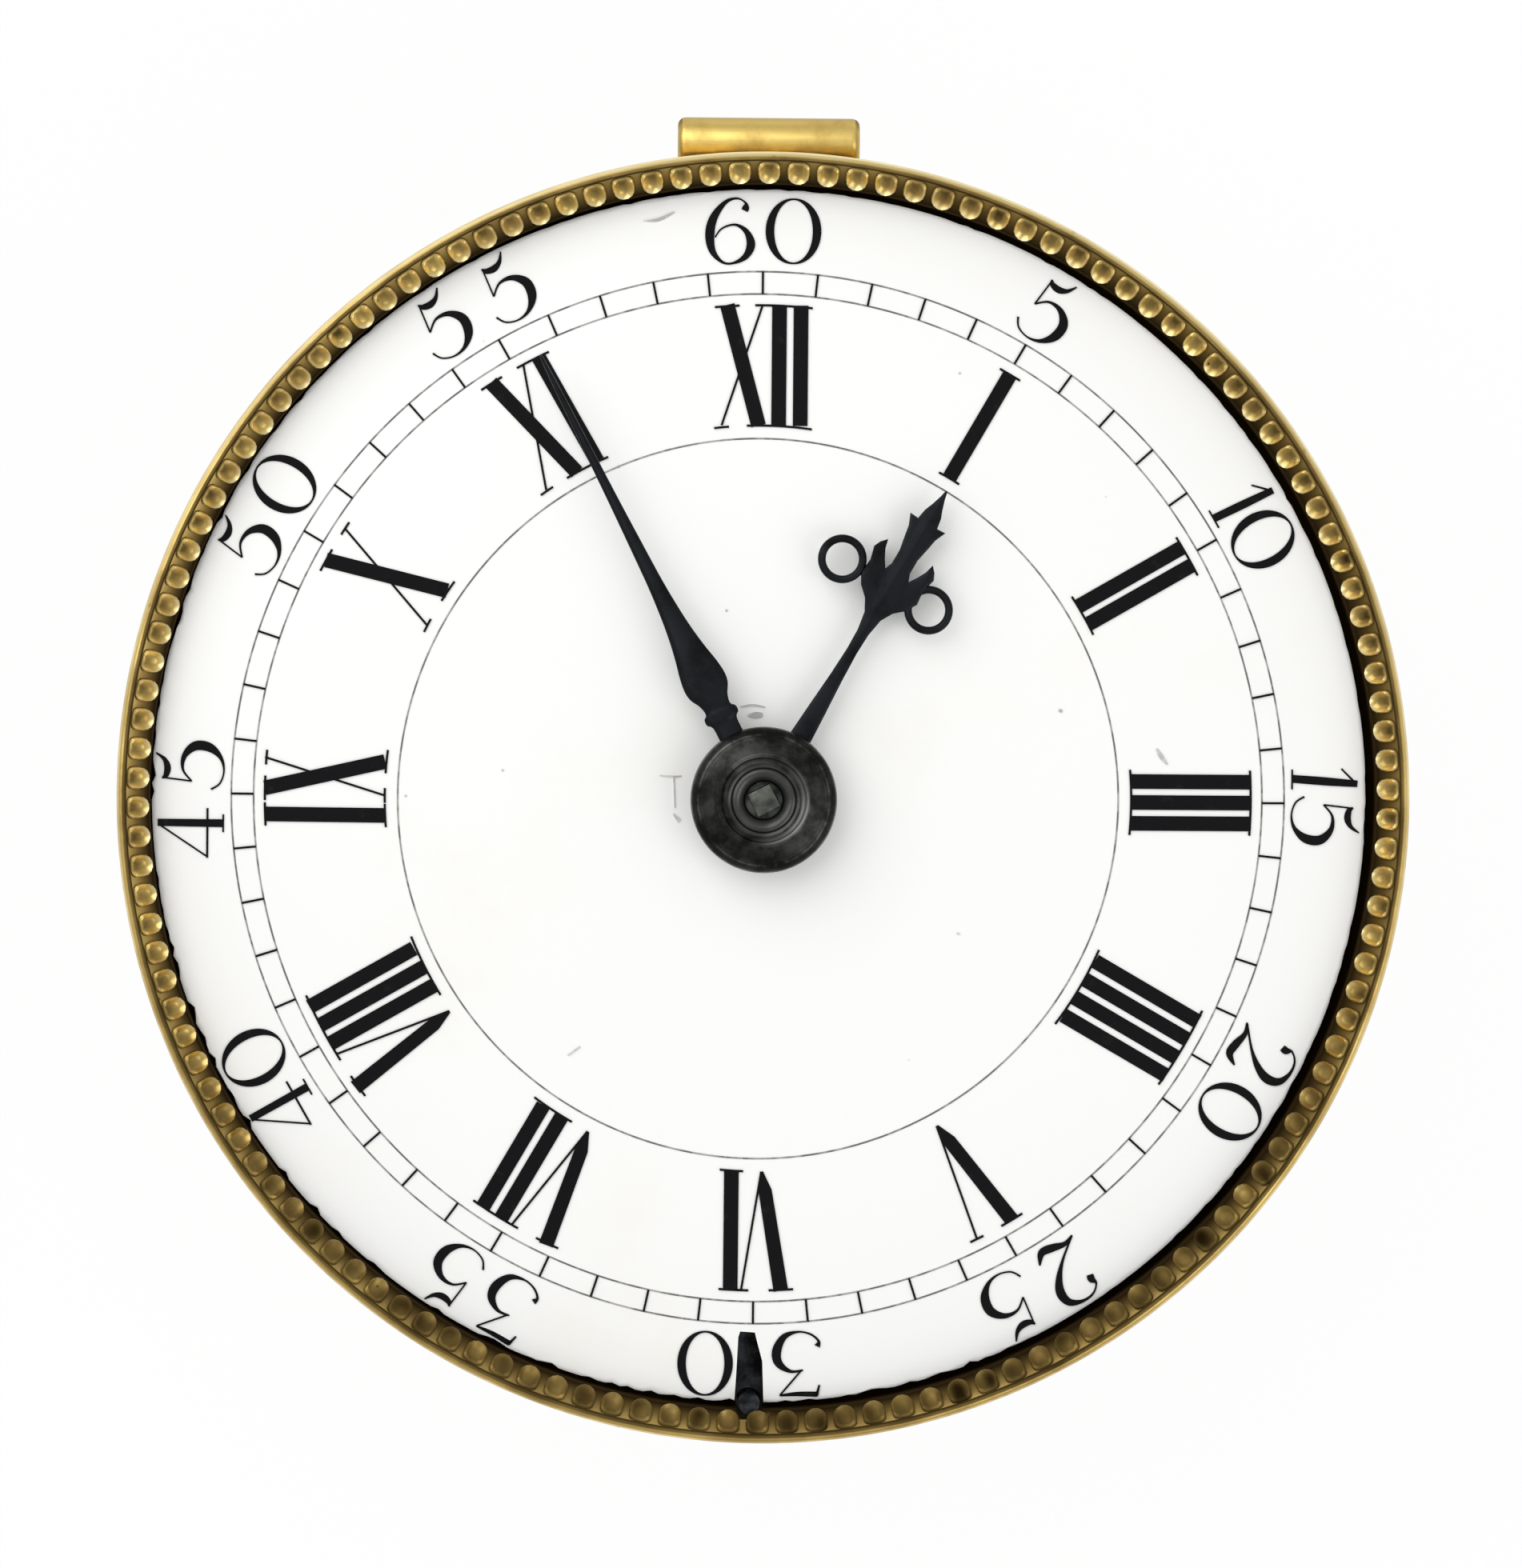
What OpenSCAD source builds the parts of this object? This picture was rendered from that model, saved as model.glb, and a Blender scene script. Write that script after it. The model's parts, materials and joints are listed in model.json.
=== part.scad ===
// Verge watch movement with fusee and chain, dial side up.
// Z = 0 is the underside of the rim, which seats in the case. +Y points to 12 o'clock.
// The axis of the centre arbor is x = 0, y = 0. The movement hangs down to -Z.

/* [Dial] */
// Radius of the enamel dial
dial_r = 19.7; // [19.4:0.1:20.2]
// Thickness of the dial
dial_t = 0.85; // [0.7:0.05:1]
// Rise of the middle of the dial over its edge
dial_rise = 1.5; // [1.2:0.1:1.7]
// Height of the dial's top edge over the seat of the rim
dial_edge_z = 1.3; // [1.25:0.05:1.45]
// Radius of the hole for the hour pipe
dial_hole_r = 1.8; // [1.7:0.05:2]
// Radius of the dial's feet
dial_foot_r = 0.5; // [0.4:0.05:0.6]

/* [Dial plate] */
// Height of the rolled lip of the rim over its seat
rim_h = 2.75; // [2.55:0.1:3.05]
// Width of the smooth lip
lip_w = 0.55; // [0.45:0.05:0.7]
// Width of the beaded slope inside the lip
bead_w = 0.65; // [0.5:0.05:0.8]
// Thickness of the web that carries the dial
web_t = 0.8; // [0.6:0.05:0.9]
// Width of the web from its inner edge to the rim
web_w = 3.8; // [3.4:0.1:4.2]
// Radius of the feet that join the dial plate to the pillar plate
edge_foot_r = 0.6; // [0.5:0.05:0.7]

/* [Plates and pillars] */
// Thickness of the pillar plate
pillar_plate_t = 1.2; // [1:0.1:1.5]
// Depth from the seat of the rim to the front of the pillar plate
motion_h = 1.55; // [1.5:0.05:1.65]
// Radius of the top plate
top_plate_r = 17.5; // [17.3:0.1:18]
// Thickness of the top plate
top_plate_t = 1; // [0.9:0.05:1.2]
// Height of the pillars between the plates
pillar_h = 7.2; // [7.1:0.1:7.6]
// Radius of a pillar at its waist
pillar_r = 0.75; // [0.6:0.05:0.85]
// Distance of the pillars from the centre
pillar_d = 15.9; // [15.7:0.1:16.2]

/* [Train] */
// Teeth of the great wheel
great_n = 60; // [60]
// Leaves of the centre pinion
centre_p = 12; // [12]
// Module of the great wheel
great_m = 0.217; // [0.215:0.001:0.218]
// Teeth of the centre wheel
centre_n = 54; // [54]
// Module of the centre wheel
centre_m = 0.2; // [0.197:0.001:0.2]
// Teeth of the third wheel
third_n = 48; // [48]
// Module of the third wheel
third_m = 0.17; // [0.168:0.001:0.172]
// Teeth of the contrate wheel
contrate_n = 48; // [48]
// Module of the contrate wheel
contrate_m = 0.15; // [0.148:0.001:0.151]
// Leaves of the third, contrate and escape pinions
small_p = 6; // [6]
// Thickness of the train wheels
wheel_t = 0.35; // [0.3:0.05:0.35]

/* [Escapement] */
// Teeth of the escape wheel, an odd number
escape_n = 15; // [13:2:17]
// Radius of the escape wheel
escape_r = 2.6; // [2.5:0.05:2.65]
// Length of an escape wheel tooth
escape_tooth = 1; // [0.8:0.1:1]
// Reach of a flag of the verge from its axis
flag_r = 0.75; // [0.6:0.05:0.8]
// Angle between the two flags
flag_a = 100; // [90:1:105]
// Radius of the balance
balance_r = 7.8; // [7.4:0.1:7.9]
// Radial width of the balance rim
balance_w = 0.6; // [0.5:0.05:0.8]
// Turns of the balance spring
spring_turns = 4; // [3:1:4]

/* [Fusee and barrel] */
// Largest radius of the fusee
fusee_r = 5; // [4.8:0.1:5.1]
// Smallest radius of the fusee
fusee_top_r = 2.7; // [2.6:0.05:2.8]
// Height of the grooved part of the fusee
fusee_h = 4; // [3.9:0.05:4]
// Turns of groove on the fusee
fusee_turns = 5; // [4:1:5]
// Width of the chain across its links
chain_w = 0.34; // [0.3:0.01:0.34]
// Outer radius of the barrel
barrel_r = 6.1; // [6:0.05:6.15]
// Wall of the barrel
barrel_wall = 0.3; // [0.25:0.05:0.4]
// Distance of the barrel from the centre
barrel_d = 11; // [11:0.05:11.1]
// Width of the winding square
winding_sq = 1.1; // [1:0.05:1.2]

/* [Hands] */
// Length of the hour hand
hour_hand_l = 11.6; // [11.2:0.1:12]
// Length of the minute hand
minute_hand_l = 16.1; // [15.5:0.1:16.6]
// Thickness of the hands
hand_t = 0.25; // [0.2:0.05:0.25]
// Radius of the domed boss of the minute hand
boss_r = 2.37; // [2.2:0.01:2.5]
// Width of the hand setting square
setting_sq = 0.8; // [0.7:0.05:0.85]
// Angle of the hour hand from 12, clockwise
hour_hand_a = 30.2; // [0:0.1:359]
// Angle of the minute hand from 12, clockwise
minute_hand_a = 332.8; // [0:0.1:359]

/* [Hinge and bolt] */
// Length of the hinge knuckle
hinge_l = 5.95; // [5:0.05:6.5]
// Outer radius of the knuckle
knuckle_r = 0.82; // [0.75:0.01:0.82]
// Radius of the bore for the hinge pin
hinge_bore_r = 0.4; // [0.35:0.01:0.45]
// Travel of the bolt
bolt_travel = 1; // [0.8:0.05:1.1]
// Width of the bolt
bolt_w = 2; // [1.8:0.1:2.2]
// Width of the nib slot in the dial
nib_slot_w = 0.85; // [0.8:0.05:0.95]

/* [Cock and regulator] */
// Radius of the table of the balance cock
table_r = 7.3; // [7:0.1:7.4]
// Thickness of the table
table_t = 0.6; // [0.5:0.05:0.7]
// Height of the underside of the table over the top plate
table_z = 1.6; // [1.55:0.05:1.7]
// Radius of the regulator disc
disc_r = 2.9; // [2.6:0.1:3]
// Leaves of the regulator pinion
disc_p = 12; // [12]
// Teeth that the rack's whole circle would have
rack_n = 120; // [120]
// Module of the rack
rack_m = 0.166; // [0.165:0.001:0.167]

/* [Hidden] */
$fn = 48;

// Clearances
fit = 0.02;
run = 0.03;
gap = 0.1;

// Colours
gilt = [0.78, 0.62, 0.3];
steel = [0.62, 0.64, 0.66];
blued = [0.14, 0.17, 0.22];
enamel = [0.97, 0.97, 0.94];
silvered = [0.8, 0.8, 0.77];

// Heights of the plates
spigot_r = dial_r + gap;
rim_r = spigot_r + bead_w + lip_w;
web_top = dial_edge_z - dial_t;
web_bot = web_top - web_t;
web_in_r = spigot_r - web_w;
plate_r = spigot_r - 0.5;
pp_front = -motion_h;
pp_back = pp_front - pillar_plate_t;
tp_front = pp_back - pillar_h;
tp_back = tp_front - top_plate_t;

function pol(r, a) = [r * cos(a), r * sin(a)];
function clock(a) = 90 - a;

// Places of the arbors
fusee_dir = -60;
F = pol((great_n + centre_p) / 2 * great_m, fusee_dir);
barrel_dir = -148;
B = pol(barrel_d, barrel_dir);
third_dir = 8.3;
T = pol((centre_n + small_p) / 2 * centre_m, third_dir);
contrate_dir = 47.1;
C = T + pol((third_n + small_p) / 2 * third_m, contrate_dir);
escape_dir = 165;
escape_z = (pp_back + tp_front) / 2;
tips_s = 7;
verge_s = tips_s + flag_r + 0.06;
V = C + pol(verge_s, escape_dir);
minute_dir = 130;
cannon_n = 12;
minute_n = 36;
minute_p = 10;
hour_n = 40;
motion_m = 0.2;
hour_m = motion_m * (cannon_n + minute_n) / (minute_p + hour_n);
M = pol((cannon_n + minute_n) / 2 * motion_m, minute_dir);

// Levels of the train, counted from the back of the pillar plate
centre_wheel_z = pp_back - 0.2 - wheel_t;
great_z1 = centre_wheel_z - 0.4;
great_t = 0.75;
great_z0 = great_z1 - great_t;
third_wheel_z = tp_front + 0.35;
contrate_r = contrate_n * contrate_m / 2;
escape_pinion_r = small_p * contrate_m / 2;
pivot_r = 0.22;

// Barrel
barrel_z1 = centre_wheel_z - 0.35;
barrel_z0 = tp_front + 0.5;
arbor_r = 1.2;

// Fusee
fusee_z1 = great_z0 - gap;
flange_t = 0.2;
fusee_z0 = fusee_z1 - flange_t - fusee_h;
chain_h = 0.38;
chain_play = 0.1;
chain_off = chain_w / 2 + chain_play;
chain_wound = fusee_turns / 2;

// Regulator
disc_dir = -35;
rack_r = rack_n * rack_m / 2;
D = V + pol(rack_r + disc_p * rack_m / 2, disc_dir);
foot_dir = atan2(V[1], V[0]);
spring_z = tp_back - 0.62;
balance_z1 = tp_back - 0.95;
table_top = tp_back - table_z - table_t;

pillar_as = [25, 140, 248, 318];
dial_foot_as = [40, 160, 300];
edge_foot_as = [115, 235, 355];
dial_foot_d = web_in_r + 1;
edge_foot_d = web_in_r + 1.9;
pin_r = 0.2;
slide_screw_as = [-34, 34];
bar_l = 10.6;
bar_w = 2.8;
bar_t = 0.8;
nib_x = -0.28;

// A cylinder between two heights
module rod(r, z0, z1, p = [0, 0]) {
    translate([p[0], p[1], min(z0, z1)]) cylinder(r = r, h = abs(z1 - z0));
}

// A flat outline between two heights
module slab(z0, z1, p = [0, 0], a = 0) {
    translate([p[0], p[1], min(z0, z1)]) rotate([0, 0, a]) linear_extrude(abs(z1 - z0)) children();
}

// A solid of revolution about an upright axis
module turned(pts, p = [0, 0]) {
    translate([p[0], p[1], 0]) rotate_extrude() polygon(pts);
}

// Outline of a toothed wheel: n teeth of module m, w the share of the pitch that a tooth fills
module teeth(n, m, w, add = 0.9, ded = 1.25) {
    r = n * m / 2;
    p = 360 / n;
    polygon([for (i = [0 : n - 1]) for (k = [[-1, 0], [-1, 1], [-0.45, 2], [0.45, 2], [1, 1], [1, 0]])
        pol(k[1] == 0 ? r - ded * m : k[1] == 1 ? r : r + add * m,
            i * p + k[0] * (k[1] == 0 ? 0.55 : 0.5) * w * p)]);
}

// Outline of a crossed-out wheel with four arms
module crossed(n, m, rim_in, hub, bore, arm = 0.6, a = 0) {
    difference() {
        rotate([0, 0, a]) teeth(n, m, 0.42);
        difference() {
            circle(r = rim_in);
            circle(r = hub);
            for (q = [0, 90]) rotate([0, 0, q]) square([2 * rim_in, arm], center = true);
        }
        circle(r = bore);
    }
}

// A slotted screw that drives down from z, head towards +Z when up is 1
module screw(p, z, head_r, head_h, shank_r, shank_l, up = -1, slot_a = 0) {
    translate([p[0], p[1], z]) mirror([0, 0, up < 0 ? 1 : 0]) {
        difference() {
            union() {
                cylinder(r = head_r, h = head_h);
                translate([0, 0, -shank_l]) cylinder(r = shank_r, h = shank_l);
            }
            rotate([0, 0, slot_a]) translate([0, 0, head_h])
                cube([3 * head_r, head_r / 4, head_h], center = true);
        }
    }
}

function dome_z(r) = dial_edge_z + dial_rise * (1 - pow(r / dial_r, 2));

module dial() color(enamel) {
    steps = 12;
    top = [for (i = [0 : steps]) let (r = dial_hole_r + (dial_r - dial_hole_r) * i / steps) [r, dome_z(r)]];
    low = [for (i = [steps : -1 : 0]) let (r = dial_hole_r + (dial_r - dial_hole_r) * i / steps)
        [r, dome_z(r) - dial_t]];
    difference() {
        turned(concat(top, low));
        nib_slot();
    }
    for (a = dial_foot_as) difference() {
        rod(dial_foot_r, web_bot - 0.8, dome_z(dial_foot_d) - dial_t + 0.05, pol(dial_foot_d, a));
        rod_pin(dial_foot_d, a, web_bot - 0.35);
    }
}

// The radial slot in which the bolt's nib travels
nib_r = 0.36;
nib_y = spigot_r;
slot_spare = 1;
module nib_slot() {
    out = nib_y + nib_r + gap;
    translate([nib_x - nib_slot_w / 2, -out, -motion_h])
        cube([nib_slot_w, out - (nib_y - nib_r - bolt_travel - slot_spare), motion_h + rim_h]);
}

// A cross pin's cut, tangent to the circle of the feet
module rod_pin(d, a, z, r = pin_r + run / 2, l = 2) {
    translate([d * cos(a), d * sin(a), z]) rotate([0, 0, a]) rotate([90, 0, 0])
        cylinder(r = r, h = l, center = true);
}

module dial_pins() color(steel) {
    for (a = dial_foot_as) rod_pin(dial_foot_d, a, web_bot - 0.35, pin_r, 2.4);
    for (a = edge_foot_as) rod_pin(edge_foot_d, a, pp_back - 0.4, pin_r, 2.6);
}

// Shallow cuts in the seat over the hinge's tongue and the bolt's nose, so that the case's ledge
// can be notched there and still carry the rest of the rim
relief_h = 0.1;
relief_in_r = spigot_r - 0.06;
nose_l = 0.6;
module rim_reliefs() {
    hinge_half = hinge_l / 2 + gap;
    bolt_half = bolt_w / 2 + gap;
    difference() {
        union() {
            translate([-hinge_half, 0, -1]) cube([2 * hinge_half, rim_r + 1, 1 + relief_h]);
            translate([nib_x - bolt_half, -spigot_r - nose_l - gap, -1])
                cube([2 * bolt_half, spigot_r, 1 + relief_h]);
        }
        rod(relief_in_r, -2, 1);
    }
}

module dial_plate() color(gilt) {
    lip_r = rim_r - lip_w;
    difference() {
        turned([[web_in_r, web_bot], [spigot_r, web_bot], [spigot_r, 0], [rim_r, 0],
            [rim_r, rim_h - 0.25], [rim_r - 0.1, rim_h - 0.07], [rim_r - 0.25, rim_h],
            [lip_r + 0.1, rim_h - 0.05], [lip_r, rim_h - 0.25], [lip_r - 0.2, rim_h - 0.75],
            [lip_r - 0.42, dial_edge_z + 0.25], [spigot_r, dial_edge_z], [spigot_r, web_top],
            [web_in_r, web_top]]);
        for (a = dial_foot_as) rod(dial_foot_r + run, web_bot - 1, web_top + 1, pol(dial_foot_d, a));
        nib_slot();
        rim_reliefs();
    }
    // Skirt that stands on the pillar plate, open for the hinge and the bolt
    difference() {
        rod(plate_r, pp_front, web_bot);
        rod(plate_r - 0.6, pp_front - 1, web_bot + 1);
        translate([-hinge_l / 2 - 0.2, 0, pp_front - 1]) cube([hinge_l + 0.4, rim_r, 4]);
        translate([nib_x - bolt_w / 2 - 0.15, -rim_r, pp_front - 1]) cube([bolt_w + 0.3, rim_r, 4]);
    }
    for (a = edge_foot_as) difference() {
        rod(edge_foot_r, pp_back - 0.85, web_bot, pol(edge_foot_d, a));
        rod_pin(edge_foot_d, a, pp_back - 0.4);
    }
}

// Joint axis of the movement in its case
knuckle_y = rim_r + 1.2 - knuckle_r;
knuckle_z = -knuckle_r - 0.05;
tongue_t = 0.45;

module hinge() color(gilt) {
    tongue_in = web_in_r + 1.6;
    difference() {
        union() {
            translate([-hinge_l / 2, knuckle_y, knuckle_z]) rotate([0, 90, 0])
                cylinder(r = knuckle_r, h = hinge_l);
            translate([-hinge_l / 2, tongue_in, web_bot - tongue_t])
                cube([hinge_l, knuckle_y - tongue_in, tongue_t]);
        }
        translate([-hinge_l, knuckle_y, knuckle_z]) rotate([0, 90, 0])
            cylinder(r = hinge_bore_r, h = 2 * hinge_l);
    }
    for (x = [-1, 1]) rod(0.35, web_bot - tongue_t - 0.2, web_bot - tongue_t,
        [x * (hinge_l / 2 - 0.9), tongue_in + 0.7]);
}

bolt_t = 0.5;
bolt_z1 = web_bot - 0.05;
bolt_in = plate_r - 3.6;

module bolt() color(steel) {
    translate([nib_x - bolt_w / 2, -spigot_r - nose_l, bolt_z1 - bolt_t])
        cube([bolt_w, spigot_r + nose_l - bolt_in, bolt_t]);
    rod(nib_r, bolt_z1 - 0.05, dial_edge_z + 0.6, [nib_x, -nib_y]);
}

bolt_screw_p = [nib_x + 4.2, -bolt_in - 0.9];

module bolt_spring() color(steel) difference() {
    union() {
        slab(bolt_z1 - bolt_t, bolt_z1) polygon([[nib_x - 0.7, -bolt_in + 0.05],
            [nib_x + 0.6, -bolt_in + 0.05], [bolt_screw_p[0] + 0.2, -bolt_in - 0.35],
            [bolt_screw_p[0] + 0.2, -bolt_in - 0.05], [nib_x, -bolt_in + 0.3]]);
        rod(0.75, bolt_z1 - bolt_t, bolt_z1, bolt_screw_p);
    }
    rod(0.32, bolt_z1 - 1, bolt_z1 + 1, bolt_screw_p);
}

click_p = B + pol(3.3, 60);

module dial_side_screws() color(blued) {
    screw(bolt_screw_p, bolt_z1 - bolt_t, 0.6, 0.3, 0.3, bolt_t, -1, 20);
    screw(click_p, pp_front + 0.55, 0.6, 0.3, 0.3, 0.5, 1, 70);
}

module pillar_plate() color(gilt) difference() {
    rod(plate_r, pp_back, pp_front);
    for (a = edge_foot_as) rod(edge_foot_r + run, pp_back - 1, pp_front + 1, pol(edge_foot_d, a));
    rod(0.5 + run, pp_back - 1, pp_front + 1);
    rod(0.45 + run, pp_back - 1, pp_front + 1, F);
    rod(0.9 + run, pp_back - 1, pp_front + 1, B);
    for (p = [T, C]) rod(pivot_r + run, pp_back - 1, pp_front + 1, p);
    rod(0.35, pp_back - 1, pp_front + 1, M);
}

// A turned pillar, riveted to the pillar plate, with a pinned end past the top plate
module pillar(i) color(gilt) {
    p = pol(pillar_d, pillar_as[i]);
    h = pillar_h;
    difference() {
        turned([[0, tp_back - 0.9], [0.4, tp_back - 0.9], [0.5, tp_back - 0.75], [0.5, tp_front],
            [1.25, tp_front], [1.25, tp_front + 0.45], [0.95, tp_front + 0.7], [1.05, tp_front + 0.9],
            [1.05, tp_front + 1.1], [pillar_r, tp_front + 1.5], [pillar_r + 0.12, tp_front + h / 2],
            [pillar_r, pp_back - 1.5], [1.05, pp_back - 1.1], [1.05, pp_back - 0.9],
            [0.95, pp_back - 0.7], [1.25, pp_back - 0.45], [1.25, pp_back], [0, pp_back]], p);
        rod_pin(pillar_d, pillar_as[i], tp_back - 0.4);
    }
}
module pillar_1() pillar(0);
module pillar_2() pillar(1);
module pillar_3() pillar(2);
module pillar_4() pillar(3);

module pillar_pins() color(steel) {
    for (a = pillar_as) rod_pin(pillar_d, a, tp_back - 0.4, pin_r, 2.6);
}

barrel_cut_r = 3.3;
cock_screw_p = V + pol(balance_r + 1.9, foot_dir);
potence_screw_p = C + pol(verge_s + 1.9, escape_dir);
stop_p = F + pol(7, fusee_dir);
stud_p = V + pol(4.9, 200);

// Turns the plan so that +X runs from the contrate wheel to the verge
module escape_line() {
    translate([C[0], C[1], 0]) rotate([0, 0, escape_dir]) children();
}

counter_q = 1.3;
counter_p = C + pol(2.2, escape_dir) - pol(counter_q, escape_dir + 90);

module top_plate() color(gilt) difference() {
    rod(top_plate_r, tp_back, tp_front);
    for (a = pillar_as) rod(0.5 + run, tp_back - 1, tp_front + 1, pol(pillar_d, a));
    rod(barrel_cut_r, tp_back - 1, tp_front + 1, B);
    for (q = [-1, 1]) rod(0.3 + run, tp_back - 1, tp_front + 1, bar_screw_p(q));
    rod(0.32 + run, tp_back - 1, tp_front + 1);
    rod(0.75 + run, tp_back - 1, tp_front + 1, F);
    for (p = [T, C]) rod(pivot_r + run, tp_back - 1, tp_front + 1, p);
    rod(1.1, tp_back - 1, tp_front + 1, V);
    rod(0.45 + run, tp_back - 1, tp_front + 1, cock_screw_p);
    rod(0.4 + run, tp_back - 1, tp_front + 1, potence_screw_p);
    rod(0.4 + run, tp_back - 1, tp_front + 1, counter_p);
    rod(0.3 + run, tp_back - 1, tp_front + 1, stop_p);
    rod(0.35 + run, tp_back - 1, tp_front + 1, D);
    rod(0.25, tp_back - 1, tp_front + 1, stud_p);
    for (q = slide_screw_as) rod(0.3 + run, tp_back - 1, tp_front + 1, slide_screw_p(q));
}

function bar_screw_p(q) = B + pol(q * (bar_l / 2 - 1), barrel_dir + 90);
function slide_screw_p(q) = V + pol(balance_r + 1.2, disc_dir + q);

module barrel_bar() color(gilt) difference() {
    slab(tp_back - bar_t, tp_back, B, barrel_dir + 90) union() {
        square([bar_l - bar_w, bar_w], center = true);
        for (q = [-1, 1]) translate([q * (bar_l - bar_w) / 2, 0]) circle(r = bar_w / 2);
        circle(r = bar_w / 2 + 0.5);
    }
    rod(0.5 + run, tp_back - 2, tp_back + 1, B);
    for (q = [-1, 1]) rod(0.3 + run, tp_back - 2, tp_back + 1, bar_screw_p(q));
}

slide_z = tp_back - 0.45;
slide_t = 0.3;

module plate_screws() color(blued) {
    for (q = [-1, 1]) screw(bar_screw_p(q), tp_back - bar_t, 0.7, 0.35, 0.3, bar_t + top_plate_t, -1, 30);
    for (q = slide_screw_as) screw(slide_screw_p(q), slide_z - slide_t, 0.55, 0.3, 0.3,
        slide_t + 0.45 + 0.6, -1, 50);
    screw(stop_p, tp_back, 0.7, 0.35, 0.3, top_plate_t + 0.8, -1, 10);
}

potence_foot_z = centre_wheel_z - 0.1;
arm_q = 0.55;

module potence() color(gilt) difference() {
    escape_line() {
        // Block that stands on the top plate beyond the verge
        translate([verge_s + 1, -1.3, tp_front]) cube([1.8, 2.6, potence_foot_z - tp_front]);
        // Foot for the lower pivot of the verge
        translate([verge_s, 0, potence_foot_z - 0.4]) cylinder(r = 0.7, h = 0.4);
        translate([verge_s, -0.7, potence_foot_z - 0.4]) cube([1.2, 1.4, 0.4]);
        // Arm past the verge to the front pivot of the escape arbor
        translate([tips_s - 0.6, arm_q, escape_z - 0.45]) cube([verge_s + 1.2 - tips_s + 0.6, 0.5, 0.9]);
        translate([tips_s - 0.6, -0.45, escape_z - 0.45]) cube([0.4, arm_q + 0.9, 0.9]);
    }
    rod(pivot_r + run, potence_foot_z - 1, potence_foot_z + 1, V);
    escape_line() translate([tips_s - 1, 0, escape_z]) rotate([0, 90, 0]) cylinder(r = pivot_r + run, h = 1);
    rod(0.4 + run, tp_front - 1, tp_front + 1.4, potence_screw_p);
}

module counter_potence() color(gilt) difference() {
    escape_line() {
        translate([1.8, -counter_q - 0.5, tp_front]) cube([0.8, 1, escape_z + 0.6 - tp_front]);
        translate([1.8, -counter_q, escape_z - 0.6]) cube([0.8, counter_q + 0.55, 1.2]);
    }
    escape_line() translate([1, 0, escape_z]) rotate([0, 90, 0]) cylinder(r = pivot_r + run, h = 2);
    rod(0.2 + run, tp_front - 1, tp_front + 1.4, counter_p);
}

module potence_screws() color(blued) {
    screw(potence_screw_p, tp_back, 0.75, 0.35, 0.4, top_plate_t + 1.2, -1, 15);
    screw(counter_p, tp_back, 0.5, 0.25, 0.2, top_plate_t + 1.2, -1, 80);
}

neck_w = 5;

module cock_table_pattern() {
    difference() {
        circle(r = table_r);
        // Scroll piercings in two rings about the coqueret
        for (i = [0 : 5]) rotate([0, 0, 60 * i]) {
            translate([3.2, 0]) circle(r = 0.75);
            translate([4.1, 1.1]) circle(r = 0.5);
            translate([5.5, -0.6]) circle(r = 0.8);
            translate([5.4, 1.5]) circle(r = 0.55);
            rotate([0, 0, 30]) translate([5.9, 0]) circle(r = 0.6);
        }
    }
}

module balance_cock() color(gilt) difference() {
    foot_s = balance_r + 0.35;
    foot_e = top_plate_r - norm(V) - 0.1;
    union() {
        slab(table_top, table_top + table_t, V, foot_dir) {
            cock_table_pattern();
            translate([table_r - 0.5, -neck_w / 2]) square([foot_s + 0.3 - table_r + 0.5, neck_w]);
        }
        slab(table_top, tp_back, V, foot_dir) intersection() {
            translate([foot_s, -4.6]) square([4, 9.2]);
            translate([-norm(V), 0]) circle(r = top_plate_r - 0.1);
        }
    }
    rod(pivot_r + run, table_top - 1, table_top + 2, V);
    for (q = [-1, 1]) rod(0.2 + run, table_top - 1, table_top + 2, coq_screw_p(q));
    rod(0.45 + run, table_top - 1, tp_back + 1, cock_screw_p);
}

function coq_screw_p(q) = V + pol(q * 1.1, foot_dir + 90);
coq_t = 0.3;

module cock_screw() color(blued)
    screw(cock_screw_p, table_top, 0.95, 0.45, 0.45, table_z + table_t + top_plate_t, -1, 35);

module coqueret() color(steel) difference() {
    slab(table_top - coq_t, table_top, V, foot_dir) {
        circle(r = 1.1);
        for (q = [-1, 1]) translate([0, q * 1.1]) circle(r = 0.6);
    }
    rod(0.45 + fit, table_top - 2, table_top + 1, V);
    for (q = [-1, 1]) rod(0.2 + run, table_top - 2, table_top + 1, coq_screw_p(q));
}

module endstone() color([0.75, 0.2, 0.3, 0.8])
    turned([[0, table_top - coq_t - 0.12], [0.25, table_top - coq_t - 0.1], [0.45, table_top - coq_t + 0.05],
        [0.45, table_top - 0.05], [0, table_top - 0.05]], V);

module coqueret_screws() color(blued)
    for (q = [-1, 1]) screw(coq_screw_p(q), table_top - coq_t, 0.38, 0.2, 0.2, coq_t + table_t, -1, 45);

module spring_stud() color(steel) difference() {
    union() {
        rod(0.23, tp_front + 0.2, tp_back, stud_p);
        slab(spring_z - 0.1, tp_back, stud_p, 200) square([0.8, 0.6], center = true);
    }
    slab(spring_z - 0.2, spring_z + 0.3, stud_p, 200) translate([-0.4, 0]) square([0.3, 1], center = true);
}

rack_sweep = 32;
rack_in = rack_r - 1.15;
curb_r = 4.25;

// A ring sector about the origin
module sector(r0, r1, a0, a1, n = 24) {
    polygon(concat([for (i = [0 : n]) pol(r0, a0 + (a1 - a0) * i / n)],
        [for (i = [n : -1 : 0]) pol(r1, a0 + (a1 - a0) * i / n)]));
}

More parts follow.
